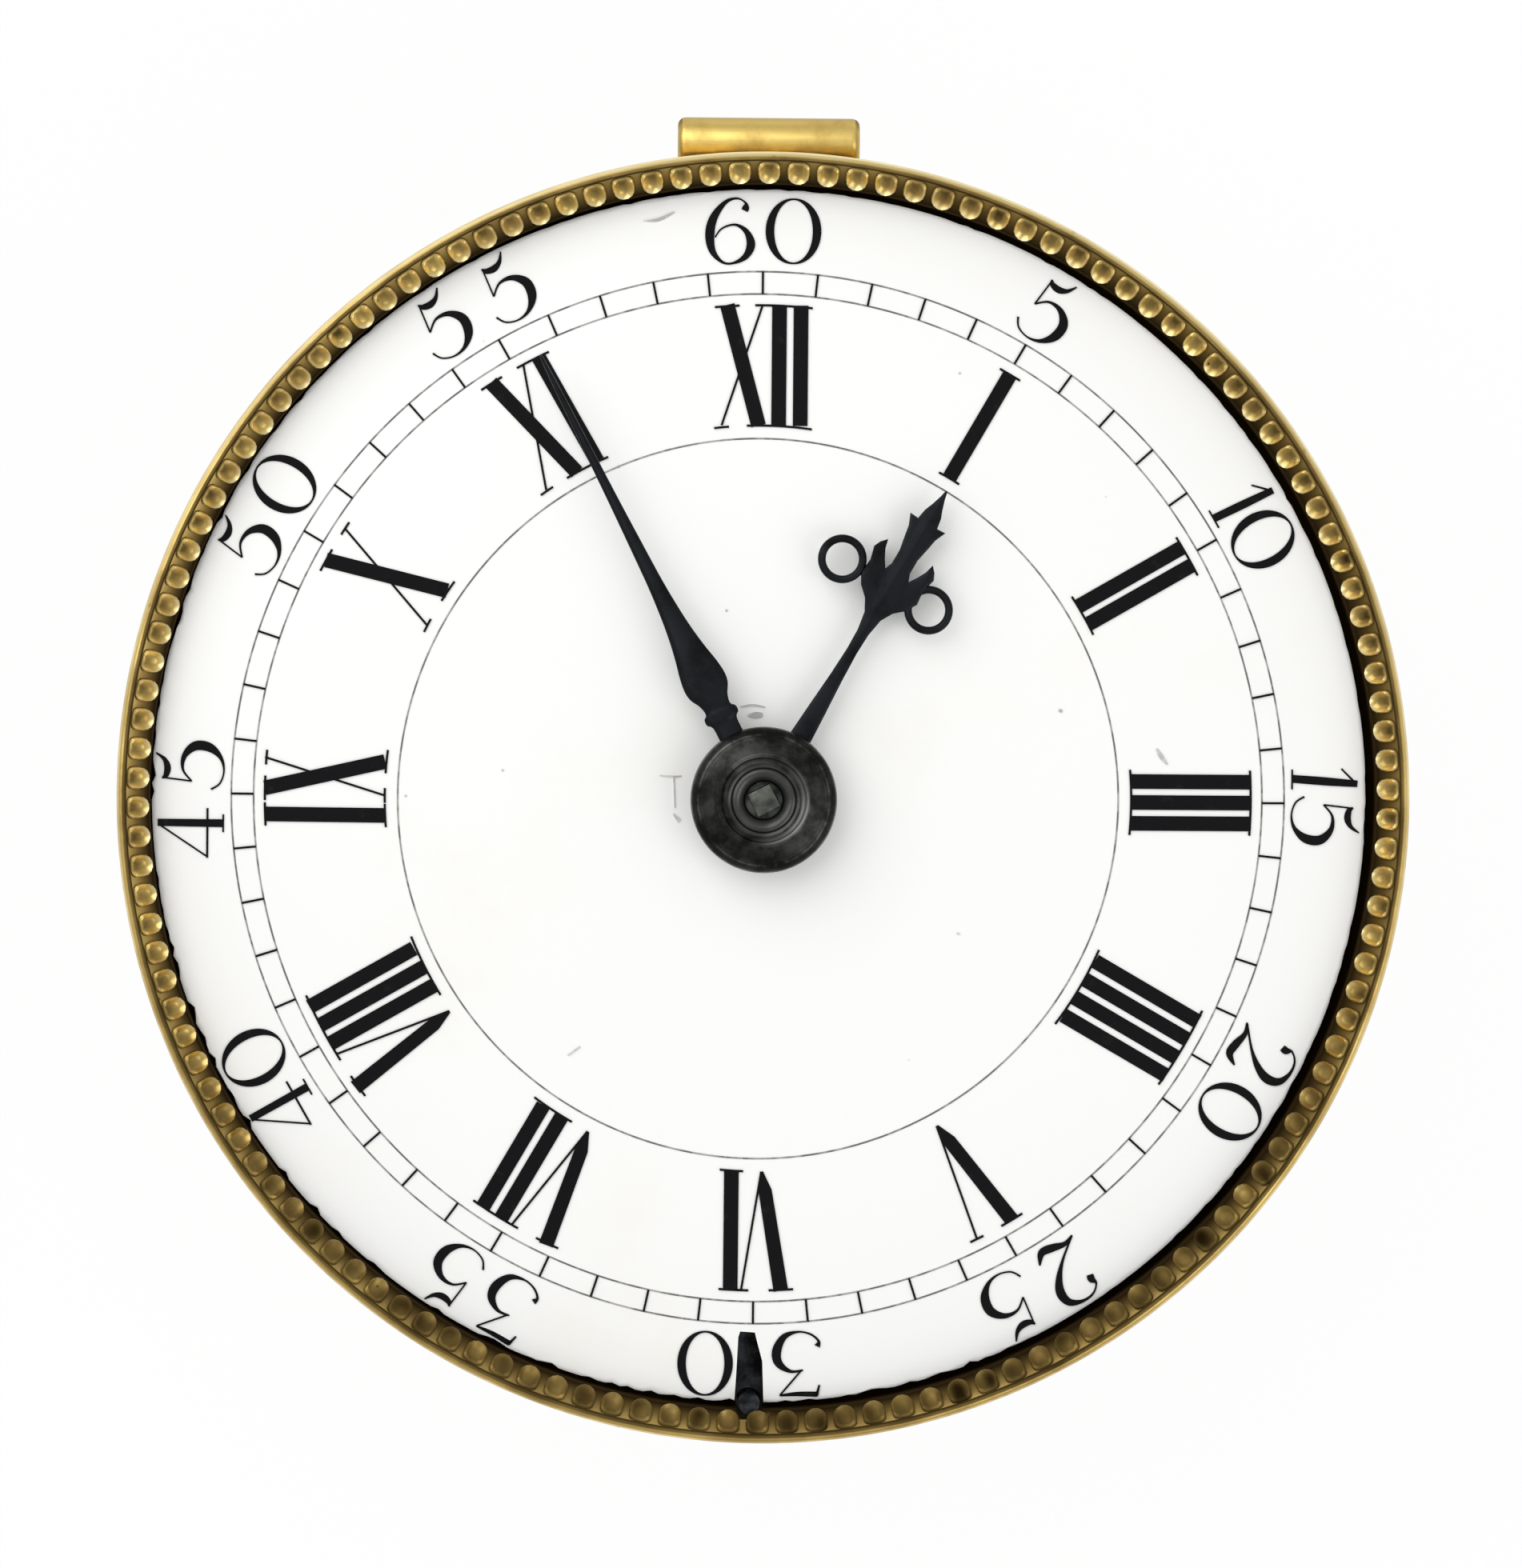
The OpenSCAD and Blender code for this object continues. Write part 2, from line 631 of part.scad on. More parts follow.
module regulator_rack() color(steel) {
    z1 = tp_back - 0.04;
    pitch = 360 / rack_n;
    half = floor(rack_sweep / 2 / pitch);
    slab(z1 - 0.3, z1, V, disc_dir) {
        sector(rack_in, rack_r - 1.2 * rack_m, -half * pitch - pitch / 2, half * pitch + pitch / 2);
        for (i = [-half : half]) rotate([0, 0, i * pitch])
            translate([rack_r, 0]) polygon([[-1.3 * rack_m, -0.75 * rack_m], [0, -0.6 * rack_m],
                [0.8 * rack_m, -0.25 * rack_m], [0.8 * rack_m, 0.25 * rack_m], [0, 0.6 * rack_m],
                [-1.3 * rack_m, 0.75 * rack_m]]);
        rotate([0, 0, -12]) translate([curb_r - 0.5, -0.35]) square([rack_in - curb_r + 0.6, 0.7]);
    }
    for (q = [-0.2, 0.2]) rod(0.08, spring_z - 0.15, z1 - 0.2, V + pol(curb_r + q, disc_dir - 12));
}

module slide_plate() color(gilt) difference() {
    union() {
        slab(slide_z - slide_t, slide_z, V, disc_dir) {
            sector(balance_r + 0.3, rack_r + 0.5, -39, 39, 32);
            translate([rack_r + disc_p * rack_m / 2, 0]) circle(r = 1.7);
        }
        // Feet on the top plate, past the ends of the rack
        for (q = slide_screw_as) slab(slide_z - slide_t / 2, tp_back, V, disc_dir + q)
            translate([balance_r + 1.2, 0]) square(1.3, center = true);
    }
    rod(1.25, slide_z - 1, slide_z + 1, D);
    for (q = slide_screw_as) rod(0.3 + run, slide_z - 1, tp_back + 1, slide_screw_p(q));
}

module regulator_disc() color(silvered) {
    z1 = tp_back - 0.04;
    slab(z1 - 0.34, z1, D, disc_dir + 180 + 180 / disc_p) teeth(disc_p, rack_m, 0.34, 0.7, 1.3);
    rod(0.9, slide_z - slide_t - 0.05, z1 - 0.34, D);
    rod(0.35, tp_front + 0.2, z1, D);
    turned([[0, slide_z - slide_t - 0.4], [disc_r - 0.1, slide_z - slide_t - 0.4],
        [disc_r, slide_z - slide_t - 0.3], [disc_r, slide_z - slide_t - 0.05],
        [0, slide_z - slide_t - 0.05]], D);
    slab(slide_z - slide_t - 0.95, slide_z - slide_t - 0.4, D) square(0.7, center = true);
}

iron_z = tp_front + 1.35;
iron_l = 3.8;
// The nose of the fusee's cap meets the stop iron when the fusee is fully wound
nose_a = fusee_dir + 22 + 360 * (fusee_turns - chain_wound);

// The stop work hangs under the top plate, with +X towards the fusee
module stop_line() {
    translate([stop_p[0], stop_p[1], 0]) rotate([0, 0, fusee_dir + 180]) children();
}

module stop_block() color(gilt) {
    difference() {
        stop_line() translate([-0.9, -0.9, tp_front]) cube([1.8, 1.8, 1.6]);
        stop_line() translate([0, -0.3, tp_front + 0.9]) cube([2, 0.6, 1]);
        stop_line() translate([0.45, 0, iron_z]) rotate([90, 0, 0]) cylinder(r = 0.15, h = 3, center = true);
        rod(0.3 + run, tp_front - 1, tp_front + 0.8, stop_p);
    }
    color(steel) stop_line() translate([0.45, 0, iron_z]) rotate([90, 0, 0])
        cylinder(r = 0.15, h = 1.8, center = true);
}

module stop_iron() color(steel) difference() {
    stop_line() union() {
        translate([0.45, 0, iron_z]) rotate([90, 0, 0]) cylinder(r = 0.35, h = 0.5, center = true);
        translate([0.45, -0.25, iron_z - 0.15]) cube([iron_l - 0.45, 0.5, 0.3]);
        translate([iron_l - 0.5, -0.4, iron_z - 0.15]) cube([0.5, 0.8, 0.3]);
    }
    stop_line() translate([0.45, 0, iron_z]) rotate([90, 0, 0]) cylinder(r = 0.15 + run, h = 3, center = true);
}

// Radius of the fusee's surface at a share t of its height, from its wide end
function fusee_at(t) = fusee_top_r + (fusee_r - fusee_top_r) * (pow(1 - t, 1.25));

module fusee() color(gilt) {
    rows = 10 * fusee_turns;
    z1 = fusee_z1 - flange_t;
    groove = 0.12;
    difference() {
        turned(concat([[0.9, fusee_z1], [fusee_r + 0.02, fusee_z1], [fusee_r + 0.02, z1]],
            [for (i = [0 : rows]) let (t = i / rows)
                [fusee_at(t) - groove * (0.5 - 0.5 * cos(360 * (fusee_turns * t))), z1 - fusee_h * t]],
            [[0.9, z1 - fusee_h]]), F);
    }
    // Steel cap with the nose that meets the stop iron
    color(steel) slab(fusee_z0 - 0.3, fusee_z0, F, nose_a) difference() {
        union() {
            circle(r = fusee_top_r + 0.1);
            sector(1.5, fusee_top_r + 0.8, -14, 14, 6);
        }
        circle(r = 0.9);
    }
}

module fusee_arbor() color(steel) {
    turned([[0, tp_back + 0.2], [0.72, tp_back + 0.2], [0.72, tp_front + 0.15], [0.88, tp_front + 0.15],
        [0.88, great_z0 + 0.05], [0.7, great_z0 + 0.05], [0.7, pp_back - 0.1], [0.42, pp_back - 0.1],
        [0.42, pp_front - 0.15], [0, pp_front - 0.15]], F);
    slab(tp_back - 2, tp_back + 0.2, F, 20) square(winding_sq, center = true);
}

ratchet_n = 24;

// Outline of a ratchet with n hooked teeth
module ratchet(n, r, depth) {
    polygon([for (i = [0 : n - 1]) for (k = [0, 1]) pol(r - depth * k, (i + 0.08 * k) * 360 / n)]);
}

module fusee_ratchet() color(steel) slab(great_z0 + 0.02, great_z0 + 0.32, F) difference() {
    ratchet(ratchet_n, 2.3, 0.3);
    circle(r = 0.88 + fit);
}

great_recess_r = 4;

module great_wheel() color(gilt) difference() {
    slab(great_z0, great_z1, F, fusee_dir + 180) teeth(great_n, great_m, 0.42);
    rod(0.7 + run, great_z0 - 1, great_z1 + 1, F);
    rod(great_recess_r, great_z0 - 1, great_z0 + 0.4, F);
}

fusee_click_p = F + pol(3.3, 100);

module fusee_click() color(steel) {
    slab(great_z0 + 0.02, great_z0 + 0.32, F, 100) difference() {
        union() {
            translate([3.3, 0]) circle(r = 0.5);
            polygon([[3.0, 0.3], [3.6, 0.45], [2.85, 1.75], [2.25, 1.65], [2.28, 1.35]]);
        }
        translate([3.3, 0]) circle(r = 0.25);
    }
}

// Chain: from its hook at the wide end of the fusee, round the fusee, across to the barrel
// and round the barrel, as one tube
barrel_chain_r = barrel_r + chain_off;
function chain_r(t) = fusee_at(t) + chain_off;
leave_t = chain_wound / fusee_turns;
leave_r = chain_r(leave_t);
chain_z = fusee_z1 - flange_t - fusee_h * leave_t;
line_a = atan2(B[1] - F[1], B[0] - F[0]);
line_l = norm(B - F);
tangent_a = line_a - acos((leave_r - barrel_chain_r) / line_l);
barrel_pitch = fusee_h / fusee_turns;
loop_steps = 24;
run_steps = 5;
chain_a = [for (i = [0 : chain_wound * loop_steps]) let (t = i / (fusee_turns * loop_steps), r = chain_r(t),
    a = tangent_a - 360 * (fusee_turns * t - chain_wound))
    [F[0] + r * cos(a), F[1] + r * sin(a), fusee_z1 - flange_t - fusee_h * t]];
chain_c = [for (i = [0 : chain_wound * loop_steps]) let (u = i / loop_steps, a = tangent_a - 360 * u)
    [B[0] + barrel_chain_r * cos(a), B[1] + barrel_chain_r * sin(a), chain_z - barrel_pitch * u]];
chain_from = chain_a[len(chain_a) - 1];
chain_b = [for (i = [1 : run_steps - 1]) chain_from + (chain_c[0] - chain_from) * i / run_steps];
chain_pts = concat(chain_a, chain_b, chain_c);

function unit(v) = v / norm(v);
function way(p, i) = unit(p[min(i + 1, len(p) - 1)] - p[max(i - 1, 0)]);

// A tube of n sides along the points p, w wide across the path in plan and h high
module tube(p, w, h, n = 6) {
    last = len(p) - 1;
    pts = [for (i = [0 : last]) let (d = way(p, i), s = unit([d[1], -d[0], 0]), u = cross(s, d))
        for (k = [0 : n - 1]) p[i] + s * (w / 2 * cos(360 * k / n)) + u * (h / 2 * sin(360 * k / n))];
    polyhedron(pts, concat(
        [[for (k = [0 : n - 1]) k]],
        [for (i = [0 : last - 1]) for (k = [0 : n - 1]) let (a = i * n + k, b = i * n + (k + 1) % n)
            [a, a + n, b]],
        [for (i = [0 : last - 1]) for (k = [0 : n - 1]) let (a = i * n + k, b = i * n + (k + 1) % n)
            [b, a + n, b + n]],
        [[for (k = [n - 1 : -1 : 0]) last * n + k]]));
}

// Least gap between the chain's own turns, over points a third of a turn or more apart
chain_gap = min([for (i = [0 : 2 : len(chain_pts) - 1]) for (j = [i + 8 : 2 : len(chain_pts) - 1])
    norm(chain_pts[i] - chain_pts[j])]) - chain_h;
echo(chain_gap = chain_gap);

module fusee_chain() color(steel) tube(chain_pts, chain_w, chain_h);

module barrel() color(gilt) difference() {
    rod(barrel_r, barrel_z0, barrel_z1, B);
    rod(barrel_r - barrel_wall, barrel_z0 - 1, barrel_z1 - 0.4, B);
    rod(0.9 + run, barrel_z0, barrel_z1 + 1, B);
}

module barrel_lid() color(gilt) difference() {
    rod(barrel_r - barrel_wall - fit, barrel_z0, barrel_z0 + 0.35, B);
    rod(0.9 + run, barrel_z0 - 1, barrel_z0 + 1, B);
}

ratchet_z0 = pp_front + 0.1;
ratchet_t = 0.35;

module barrel_arbor() color(steel) {
    turned([[0, tp_back - bar_t - 0.25], [0.46, tp_back - bar_t - 0.25], [0.46, tp_back + 0.1],
        [0.9, tp_back + 0.1], [0.9, barrel_z0 + 0.4], [arbor_r, barrel_z0 + 0.4],
        [arbor_r, barrel_z1 - 0.45], [0.9, barrel_z1 - 0.45], [0.9, ratchet_z0 - 0.05],
        [0, ratchet_z0 - 0.05]], B);
    slab(ratchet_z0 - 0.05, ratchet_z0 + ratchet_t + 0.2, B) square(1.1, center = true);
}

mainspring_t = 0.12;

module mainspring() color(steel) slab(barrel_z0 + 0.45, barrel_z1 - 0.5, B) {
    turns = 9;
    n = 24 * turns;
    r0 = arbor_r + 0.15;
    r1 = barrel_r - barrel_wall - 0.3;
    polygon(concat([for (i = [0 : n]) pol(r0 + (r1 - r0) * i / n, 15 * i)],
        [for (i = [n : -1 : 0]) pol(r0 + mainspring_t + (r1 - r0) * i / n, 15 * i)]));
}

module setup_ratchet() color(steel) slab(ratchet_z0, ratchet_z0 + ratchet_t, B) difference() {
    ratchet(16, 2.2, 0.4);
    square(1.1 + 2 * fit, center = true);
}

module setup_click() color(steel) slab(ratchet_z0, ratchet_z0 + ratchet_t, B, 60) difference() {
    union() {
        translate([3.3, 0]) circle(r = 0.6);
        polygon([[2.9, 0.3], [3.7, 0.5], [2.7, 1.95], [2.25, 1.75], [2.3, 1.3]]);
    }
    translate([3.3, 0]) circle(r = 0.3 + run);
}

module centre_arbor() color(steel) {
    turned([[0, tp_front - 0.7], [0.3, tp_front - 0.7], [0.3, tp_front + 0.15], [0.5, tp_front + 0.15],
        [0.5, great_z0 - 0.1], [0.95, great_z0 - 0.1], [0.95, centre_wheel_z],
        [0.75, centre_wheel_z], [0.75, pp_back - 0.1], [0.5, pp_back - 0.1],
        [0.5, cannon_top - 0.7], [0, cannon_top - 0.7]]);
    slab(great_z0 - 0.05, great_z1 + 0.05, [0, 0], fusee_dir + 180 / centre_p)
        teeth(centre_p, great_m, 0.34, 0.7, 1.3);
}

cannon_top = dial_edge_z + dial_rise + 1.75;

module centre_wheel() color(gilt) slab(centre_wheel_z, centre_wheel_z + wheel_t)
    crossed(centre_n, centre_m, 4.6, 1.4, 0.75 + fit, 0.7, third_dir);

// An upright arbor with its pinion between z0 and z1 and pivots in both plates
module arbor(p, r, z0, z1, m, a) {
    turned([[0, tp_front - 0.7], [pivot_r, tp_front - 0.7], [pivot_r, tp_front + gap], [r, tp_front + gap],
        [r, pp_back - gap], [pivot_r, pp_back - gap], [pivot_r, pp_front - 0.15], [0, pp_front - 0.15]], p);
    slab(z0, z1, p, a) teeth(small_p, m, 0.3, 0.6, 1.35);
}

module third_arbor() color(steel) arbor(T, 0.3, centre_wheel_z - 0.1, pp_back - gap, centre_m,
    third_dir + 180 + 180 / small_p);

module third_wheel() color(gilt) slab(third_wheel_z, third_wheel_z + wheel_t, T)
    crossed(third_n, third_m, 3.4, 0.9, 0.3 + fit, 0.55, contrate_dir);

module contrate_arbor() color(steel) arbor(C, 0.28, tp_front + 0.15, third_wheel_z + wheel_t + 0.25, third_m,
    contrate_dir + 180 + 180 / small_p);

contrate_tip_z = escape_z + escape_pinion_r - 0.8 * contrate_m;
contrate_root_z = escape_z + escape_pinion_r + 1.3 * contrate_m;
contrate_web_z = contrate_root_z + 0.7;

module contrate_wheel() color(gilt) translate([C[0], C[1], 0]) {
    rim_out = contrate_r + 0.15;
    rim_in = contrate_r - 0.2;
    translate([0, 0, contrate_web_z]) linear_extrude(0.3) difference() {
        circle(r = rim_out);
        difference() {
            circle(r = rim_in - 0.1);
            circle(r = 0.9);
            for (q = [0, 90]) rotate([0, 0, q + 20]) square([2 * rim_in, 0.6], center = true);
        }
        circle(r = 0.28 + fit);
    }
    difference() {
        translate([0, 0, contrate_tip_z]) cylinder(r = rim_out, h = contrate_web_z - contrate_tip_z);
        translate([0, 0, contrate_tip_z - 1]) cylinder(r = rim_in, h = contrate_web_z - contrate_tip_z + 1);
        for (i = [0 : contrate_n - 1]) rotate([0, 0, escape_dir + (i + 0.5) * 360 / contrate_n])
            translate([rim_in - 0.2, 0, contrate_root_z]) rotate([90, 0, 90]) linear_extrude(0.9)
                polygon([for (k = [[-0.3, 0], [0.3, 0], [0.29, -1.3], [0.42, -2.6], [-0.42, -2.6], [-0.29, -1.3]])
                    [k[0] * contrate_pitch, k[1] * contrate_m]]);
    }
}
contrate_pitch = PI * contrate_m;

// Pieces on the horizontal escape arbor are drawn along +Z and laid over towards the verge
module along_escape(s) {
    escape_line() translate([s, 0, escape_z]) rotate([0, 90, 0]) children();
}

module escape_arbor() color(steel) {
    along_escape(0) rotate_extrude() polygon([[0, 1.9], [pivot_r - 0.04, 1.9], [pivot_r - 0.04, 2.65],
        [0.24, 2.65], [0.24, tips_s - 0.7], [pivot_r - 0.04, tips_s - 0.7],
        [pivot_r - 0.04, tips_s - 0.15], [0, tips_s - 0.15]]);
    along_escape(contrate_r - 0.55) linear_extrude(1.1) rotate([0, 0, 180])
        rotate([0, 0, 180 / small_p]) teeth(small_p, contrate_m, 0.3, 0.6, 1.2);
}

module escape_wheel() color(gilt) {
    web_s = tips_s - 1.9;
    ring_in = escape_r - 0.25;
    along_escape(web_s) linear_extrude(0.25) difference() {
        circle(r = escape_r);
        difference() {
            circle(r = ring_in);
            circle(r = 0.7);
            for (q = [0, 90]) rotate([0, 0, q]) square([2 * ring_in, 0.45], center = true);
        }
        circle(r = 0.24 + fit);
    }
    along_escape(web_s + 0.25) difference() {
        cylinder(r = escape_r, h = 1.65);
        translate([0, 0, -1]) cylinder(r = ring_in, h = 4);
        // Saw-tooth gaps: one flank nearly straight, one sloping
        for (i = [0 : escape_n - 1]) rotate([0, 0, i * 360 / escape_n])
            translate([ring_in - 0.3, 0, 1.65 - escape_tooth]) rotate([90, 0, 90]) linear_extrude(1)
                polygon([for (k = [[0, 0], [-0.36, 0.12], [-0.47, 1.2], [0.47, 1.2], [0.43, 1]])
                    [k[0] * 2 * PI * escape_r / escape_n, k[1] * escape_tooth]]);
    }
}

flag_h = 0.75;

module verge_staff() color(steel) {
    z_low = escape_z + escape_r - flag_h - 0.05;
    z_high = escape_z - escape_r + 0.05;
    turned([[0, table_top], [pivot_r - 0.02, table_top], [pivot_r - 0.02, table_top + table_t + 0.05],
        [0.32, table_top + table_t + 0.05], [0.32, potence_foot_z - 0.5],
        [pivot_r - 0.02, potence_foot_z - 0.5], [pivot_r - 0.02, potence_foot_z - 0.05],
        [0, potence_foot_z - 0.05]], V);
    for (q = [[z_low, -1], [z_high, 1]])
        translate([V[0], V[1], q[0]]) rotate([0, 0, escape_dir + 180 + q[1] * flag_a / 2])
            translate([0, -0.11, 0]) cube([flag_r, 0.22, flag_h]);
    // Collet of the balance spring
    rod(0.8, spring_z, spring_z + 0.3, V);
}

module balance_wheel() color(gilt) slab(balance_z1 - 0.5, balance_z1, V, 15) difference() {
    circle(r = balance_r);
    difference() {
        circle(r = balance_r - balance_w);
        circle(r = 1.1);
        for (q = [0, 60, 120]) rotate([0, 0, q]) square([2 * balance_r - balance_w, 0.6], center = true);
    }
    circle(r = 0.32 + fit);
}

spring_in_r = 1.15;
spring_t = 0.06;
// Radius of the balance spring's inner face at a share t of its length
function spiral(t) = spring_in_r + (curb_r - spring_in_r - spring_t / 2) * t;

module balance_spring() color(blued) slab(spring_z, spring_z + 0.25, V) {
    n = 30;
    steps = n * spring_turns;
    a_end = 200;
    a0 = a_end - 360 * spring_turns;
    polygon(concat([for (i = [0 : steps]) pol(spiral(i / steps), a0 + 360 * i / n)],
        [for (i = [steps : -1 : 0]) pol(spiral(i / steps) + spring_t, a0 + 360 * i / n)]));
}

module cannon_pinion() color(steel) {
    difference() {
        union() {
            rod(0.95, pp_front + 0.15, cannon_top - 0.6);
            slab(pp_front + 0.15, pp_front + 0.75, [0, 0], minute_dir + 180 / cannon_n)
                teeth(cannon_n, motion_m, 0.34, 0.7, 1);
        }
        rod(0.5 + fit, pp_front - 1, cannon_top - 0.65);
    }
    slab(cannon_top - 0.6, cannon_top, [0, 0], clock(minute_hand_a)) square(setting_sq, center = true);
}

module minute_wheel() color(gilt) {
    z0 = pp_front + 0.25;
    difference() {
        union() {
            slab(z0, z0 + 0.35, M, minute_dir + 180) teeth(minute_n, motion_m, 0.42);
            slab(z0 + 0.35, z0 + 1.1, M, minute_dir + 180 + 180 / minute_p)
                teeth(minute_p, hour_m, 0.34, 0.7, 1.3);
        }
        rod(0.35 + run, z0 - 1, z0 + 2, M);
    }
}

module minute_post() color(steel) {
    rod(0.35, pp_front, pp_front + 1.3, M);
}

hour_top = dial_edge_z + dial_rise + 0.65;

module hour_wheel() color(gilt) difference() {
    union() {
        slab(pp_front + 0.9, pp_front + 1.25, [0, 0], minute_dir) teeth(hour_n, hour_m, 0.42);
        rod(1.4, pp_front + 0.9, hour_top);
    }
    rod(0.95 + run, pp_front - 1, hour_top + 1);
}

// A hand's outline with +X along the hand, mirrored about its middle line
module both_sides(pts) {
    polygon(concat(pts, [for (i = [len(pts) - 1 : -1 : 0]) [pts[i][0], -pts[i][1]]]));
}

module hour_hand() color(blued) {
    z = hour_top - 0.05;
    ring_at = [8.2, 1.68];
    translate([0, 0, z]) difference() {
        cylinder(r = 2, h = hand_t);
        translate([0, 0, -1]) cylinder(r = 1.4 + fit, h = 3);
    }
    translate([0, 0, z + 0.08]) rotate([0, 2.5, clock(hour_hand_a)]) linear_extrude(hand_t) {
        both_sides([[1.7, 0.36], [3.4, 0.3], [4.6, 0.22], [6.2, 0.19], [7, 0.3], [7.9, 0.95],
            [8.9, 1.3], [9, 1.05], [9.25, 0.88], [8.7, 0.62], [8.3, 0.42], [9.4, 0.4], [9.9, 0.5], [10.4, 0.62],
            [10.35, 0.36], [10.9, 0.22], [hour_hand_l, 0.04]]);
        for (q = [-1, 1]) translate([ring_at[0], q * ring_at[1]]) difference() {
            circle(r = 0.82);
            circle(r = 0.63);
        }
    }
}

module minute_hand() color(blued) {
    z = hour_top + hand_t + 0.12;
    difference() {
        turned([[0, z], [boss_r - 0.2, z], [boss_r, z + 0.2], [boss_r - 0.05, z + 0.35], [boss_r - 0.5, z + 0.62],
            [1.35, z + 0.85], [1.25, z + 0.8], [1.15, z + 0.88], [0.95, z + 0.9], [0.75, z + 0.8],
            [0.6, z + 0.62], [0, z + 0.6]]);
        rod(0.95 + fit, z - 1, cannon_top - 0.58);
        slab(z, z + 2, [0, 0], clock(minute_hand_a)) square(setting_sq + 2 * fit, center = true);
    }
    translate([0, 0, z + 0.12]) rotate([0, 3, clock(minute_hand_a)]) linear_extrude(hand_t)
        both_sides([[2.1, 0.42], [2.9, 0.42], [3.05, 0.55], [3.2, 0.55], [3.35, 0.45], [3.8, 0.7], [4.3, 0.72],
            [4.8, 0.64], [5.6, 0.48], [6.5, 0.36], [7.5, 0.27], [9.5, 0.21], [12, 0.15], [minute_hand_l, 0.06]]);
}

dial();
dial_plate();
dial_pins();
hinge();
bolt();
bolt_spring();
dial_side_screws();
pillar_plate();
pillar_1();
pillar_2();
pillar_3();
pillar_4();
pillar_pins();
top_plate();
barrel_bar();
plate_screws();
potence();
counter_potence();
potence_screws();
balance_cock();
cock_screw();
coqueret();
endstone();
coqueret_screws();
spring_stud();
slide_plate();
regulator_disc();
regulator_rack();
stop_block();
stop_iron();
fusee();
fusee_arbor();
fusee_ratchet();
great_wheel();
fusee_click();
fusee_chain();
barrel();
barrel_lid();
barrel_arbor();
mainspring();
setup_ratchet();
setup_click();
centre_arbor();
centre_wheel();
third_arbor();
third_wheel();
contrate_arbor();
contrate_wheel();
escape_arbor();
escape_wheel();
verge_staff();
balance_wheel();
balance_spring();
cannon_pinion();
minute_wheel();
minute_post();
hour_wheel();
hour_hand();
minute_hand();
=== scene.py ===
"""Finishes of the verge watch movement, fitted round its packed construction model."""
import json
import math
from contextlib import contextmanager

import bmesh
import bpy
from bpy.props import BoolProperty, FloatProperty, FloatVectorProperty, IntProperty, PointerProperty
from mathutils import Matrix, Vector, noise


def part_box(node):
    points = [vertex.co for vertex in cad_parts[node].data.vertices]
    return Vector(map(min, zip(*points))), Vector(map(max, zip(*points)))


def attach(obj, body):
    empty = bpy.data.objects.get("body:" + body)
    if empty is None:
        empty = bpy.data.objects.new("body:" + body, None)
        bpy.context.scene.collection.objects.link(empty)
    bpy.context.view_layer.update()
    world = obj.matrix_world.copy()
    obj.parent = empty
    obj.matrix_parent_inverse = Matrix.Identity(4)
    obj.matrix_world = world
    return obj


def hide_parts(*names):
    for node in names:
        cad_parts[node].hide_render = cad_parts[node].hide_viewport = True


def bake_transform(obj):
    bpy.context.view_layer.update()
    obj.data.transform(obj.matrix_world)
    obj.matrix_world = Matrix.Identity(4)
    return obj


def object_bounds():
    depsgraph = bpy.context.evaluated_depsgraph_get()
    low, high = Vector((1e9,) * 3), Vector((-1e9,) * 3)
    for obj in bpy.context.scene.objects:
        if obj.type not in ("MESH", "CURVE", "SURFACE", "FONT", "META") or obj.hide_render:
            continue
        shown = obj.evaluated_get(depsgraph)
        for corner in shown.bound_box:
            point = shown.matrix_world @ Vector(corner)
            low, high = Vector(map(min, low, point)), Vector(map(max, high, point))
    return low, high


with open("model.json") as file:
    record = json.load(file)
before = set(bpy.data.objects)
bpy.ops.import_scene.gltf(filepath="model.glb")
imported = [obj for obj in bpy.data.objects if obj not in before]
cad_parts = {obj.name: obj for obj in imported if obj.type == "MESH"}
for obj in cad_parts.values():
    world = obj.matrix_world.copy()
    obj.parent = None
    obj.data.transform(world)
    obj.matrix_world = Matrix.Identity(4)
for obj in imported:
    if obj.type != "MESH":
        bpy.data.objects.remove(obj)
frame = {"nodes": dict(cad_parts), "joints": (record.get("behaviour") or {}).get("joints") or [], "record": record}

bl_info = {
    "name": "Verge watch movement",
    "version": (1, 0, 0),
    "blender": (4, 5, 0),
    "location": "3D View > Sidebar > Movement",
    "description": "Dresses a verge watch movement with its enamel, gilding, steel and engraving",
    "category": "Object",
}

MM = 0.001
WHITE = (1, 1, 1, 1)
CAD_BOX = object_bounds()


def low(node):
    """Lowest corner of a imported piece, in mm."""
    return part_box(node)[0] / MM


def high(node):
    """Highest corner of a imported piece, in mm."""
    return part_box(node)[1] / MM


def joint_axis(name):
    """Place of a joint seen from above, in mm."""
    found = next(j for j in frame["joints"] if j["name"] == name)
    return found["pos_m"][0] / MM, found["pos_m"][1] / MM


def direction(start, end):
    """Angle in degrees from one point to another, seen from above."""
    return math.degrees(math.atan2(end[1] - start[1], end[0] - start[0]))


# Radii, heights and the place of the bolt's nib, which the pieces share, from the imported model
RIM_R, LIP_Z = high("dial_plate").x, high("dial_plate").z
DIAL_R = high("dial").x
SPIGOT_R = DIAL_R + 0.1
DOME_Z = high("hour_wheel").z - 0.65
EDGE_Z = DOME_Z - 1.5
PLATE_R = high("pillar_plate").x
NIB_X = low("bolt").x + 1.0
# Axes of the movement seen from above, in mm
CENTRE = (0, 0)
FUSEE = joint_axis("great_wheel_turn")
BARREL = joint_axis("barrel_turn")
VERGE = joint_axis("balance_swing")
REGULATOR = joint_axis("regulator_turn")
# Clock angles of the hands in the photograph
MINUTE_ANGLE, HOUR_ANGLE = 332.8, 30.2
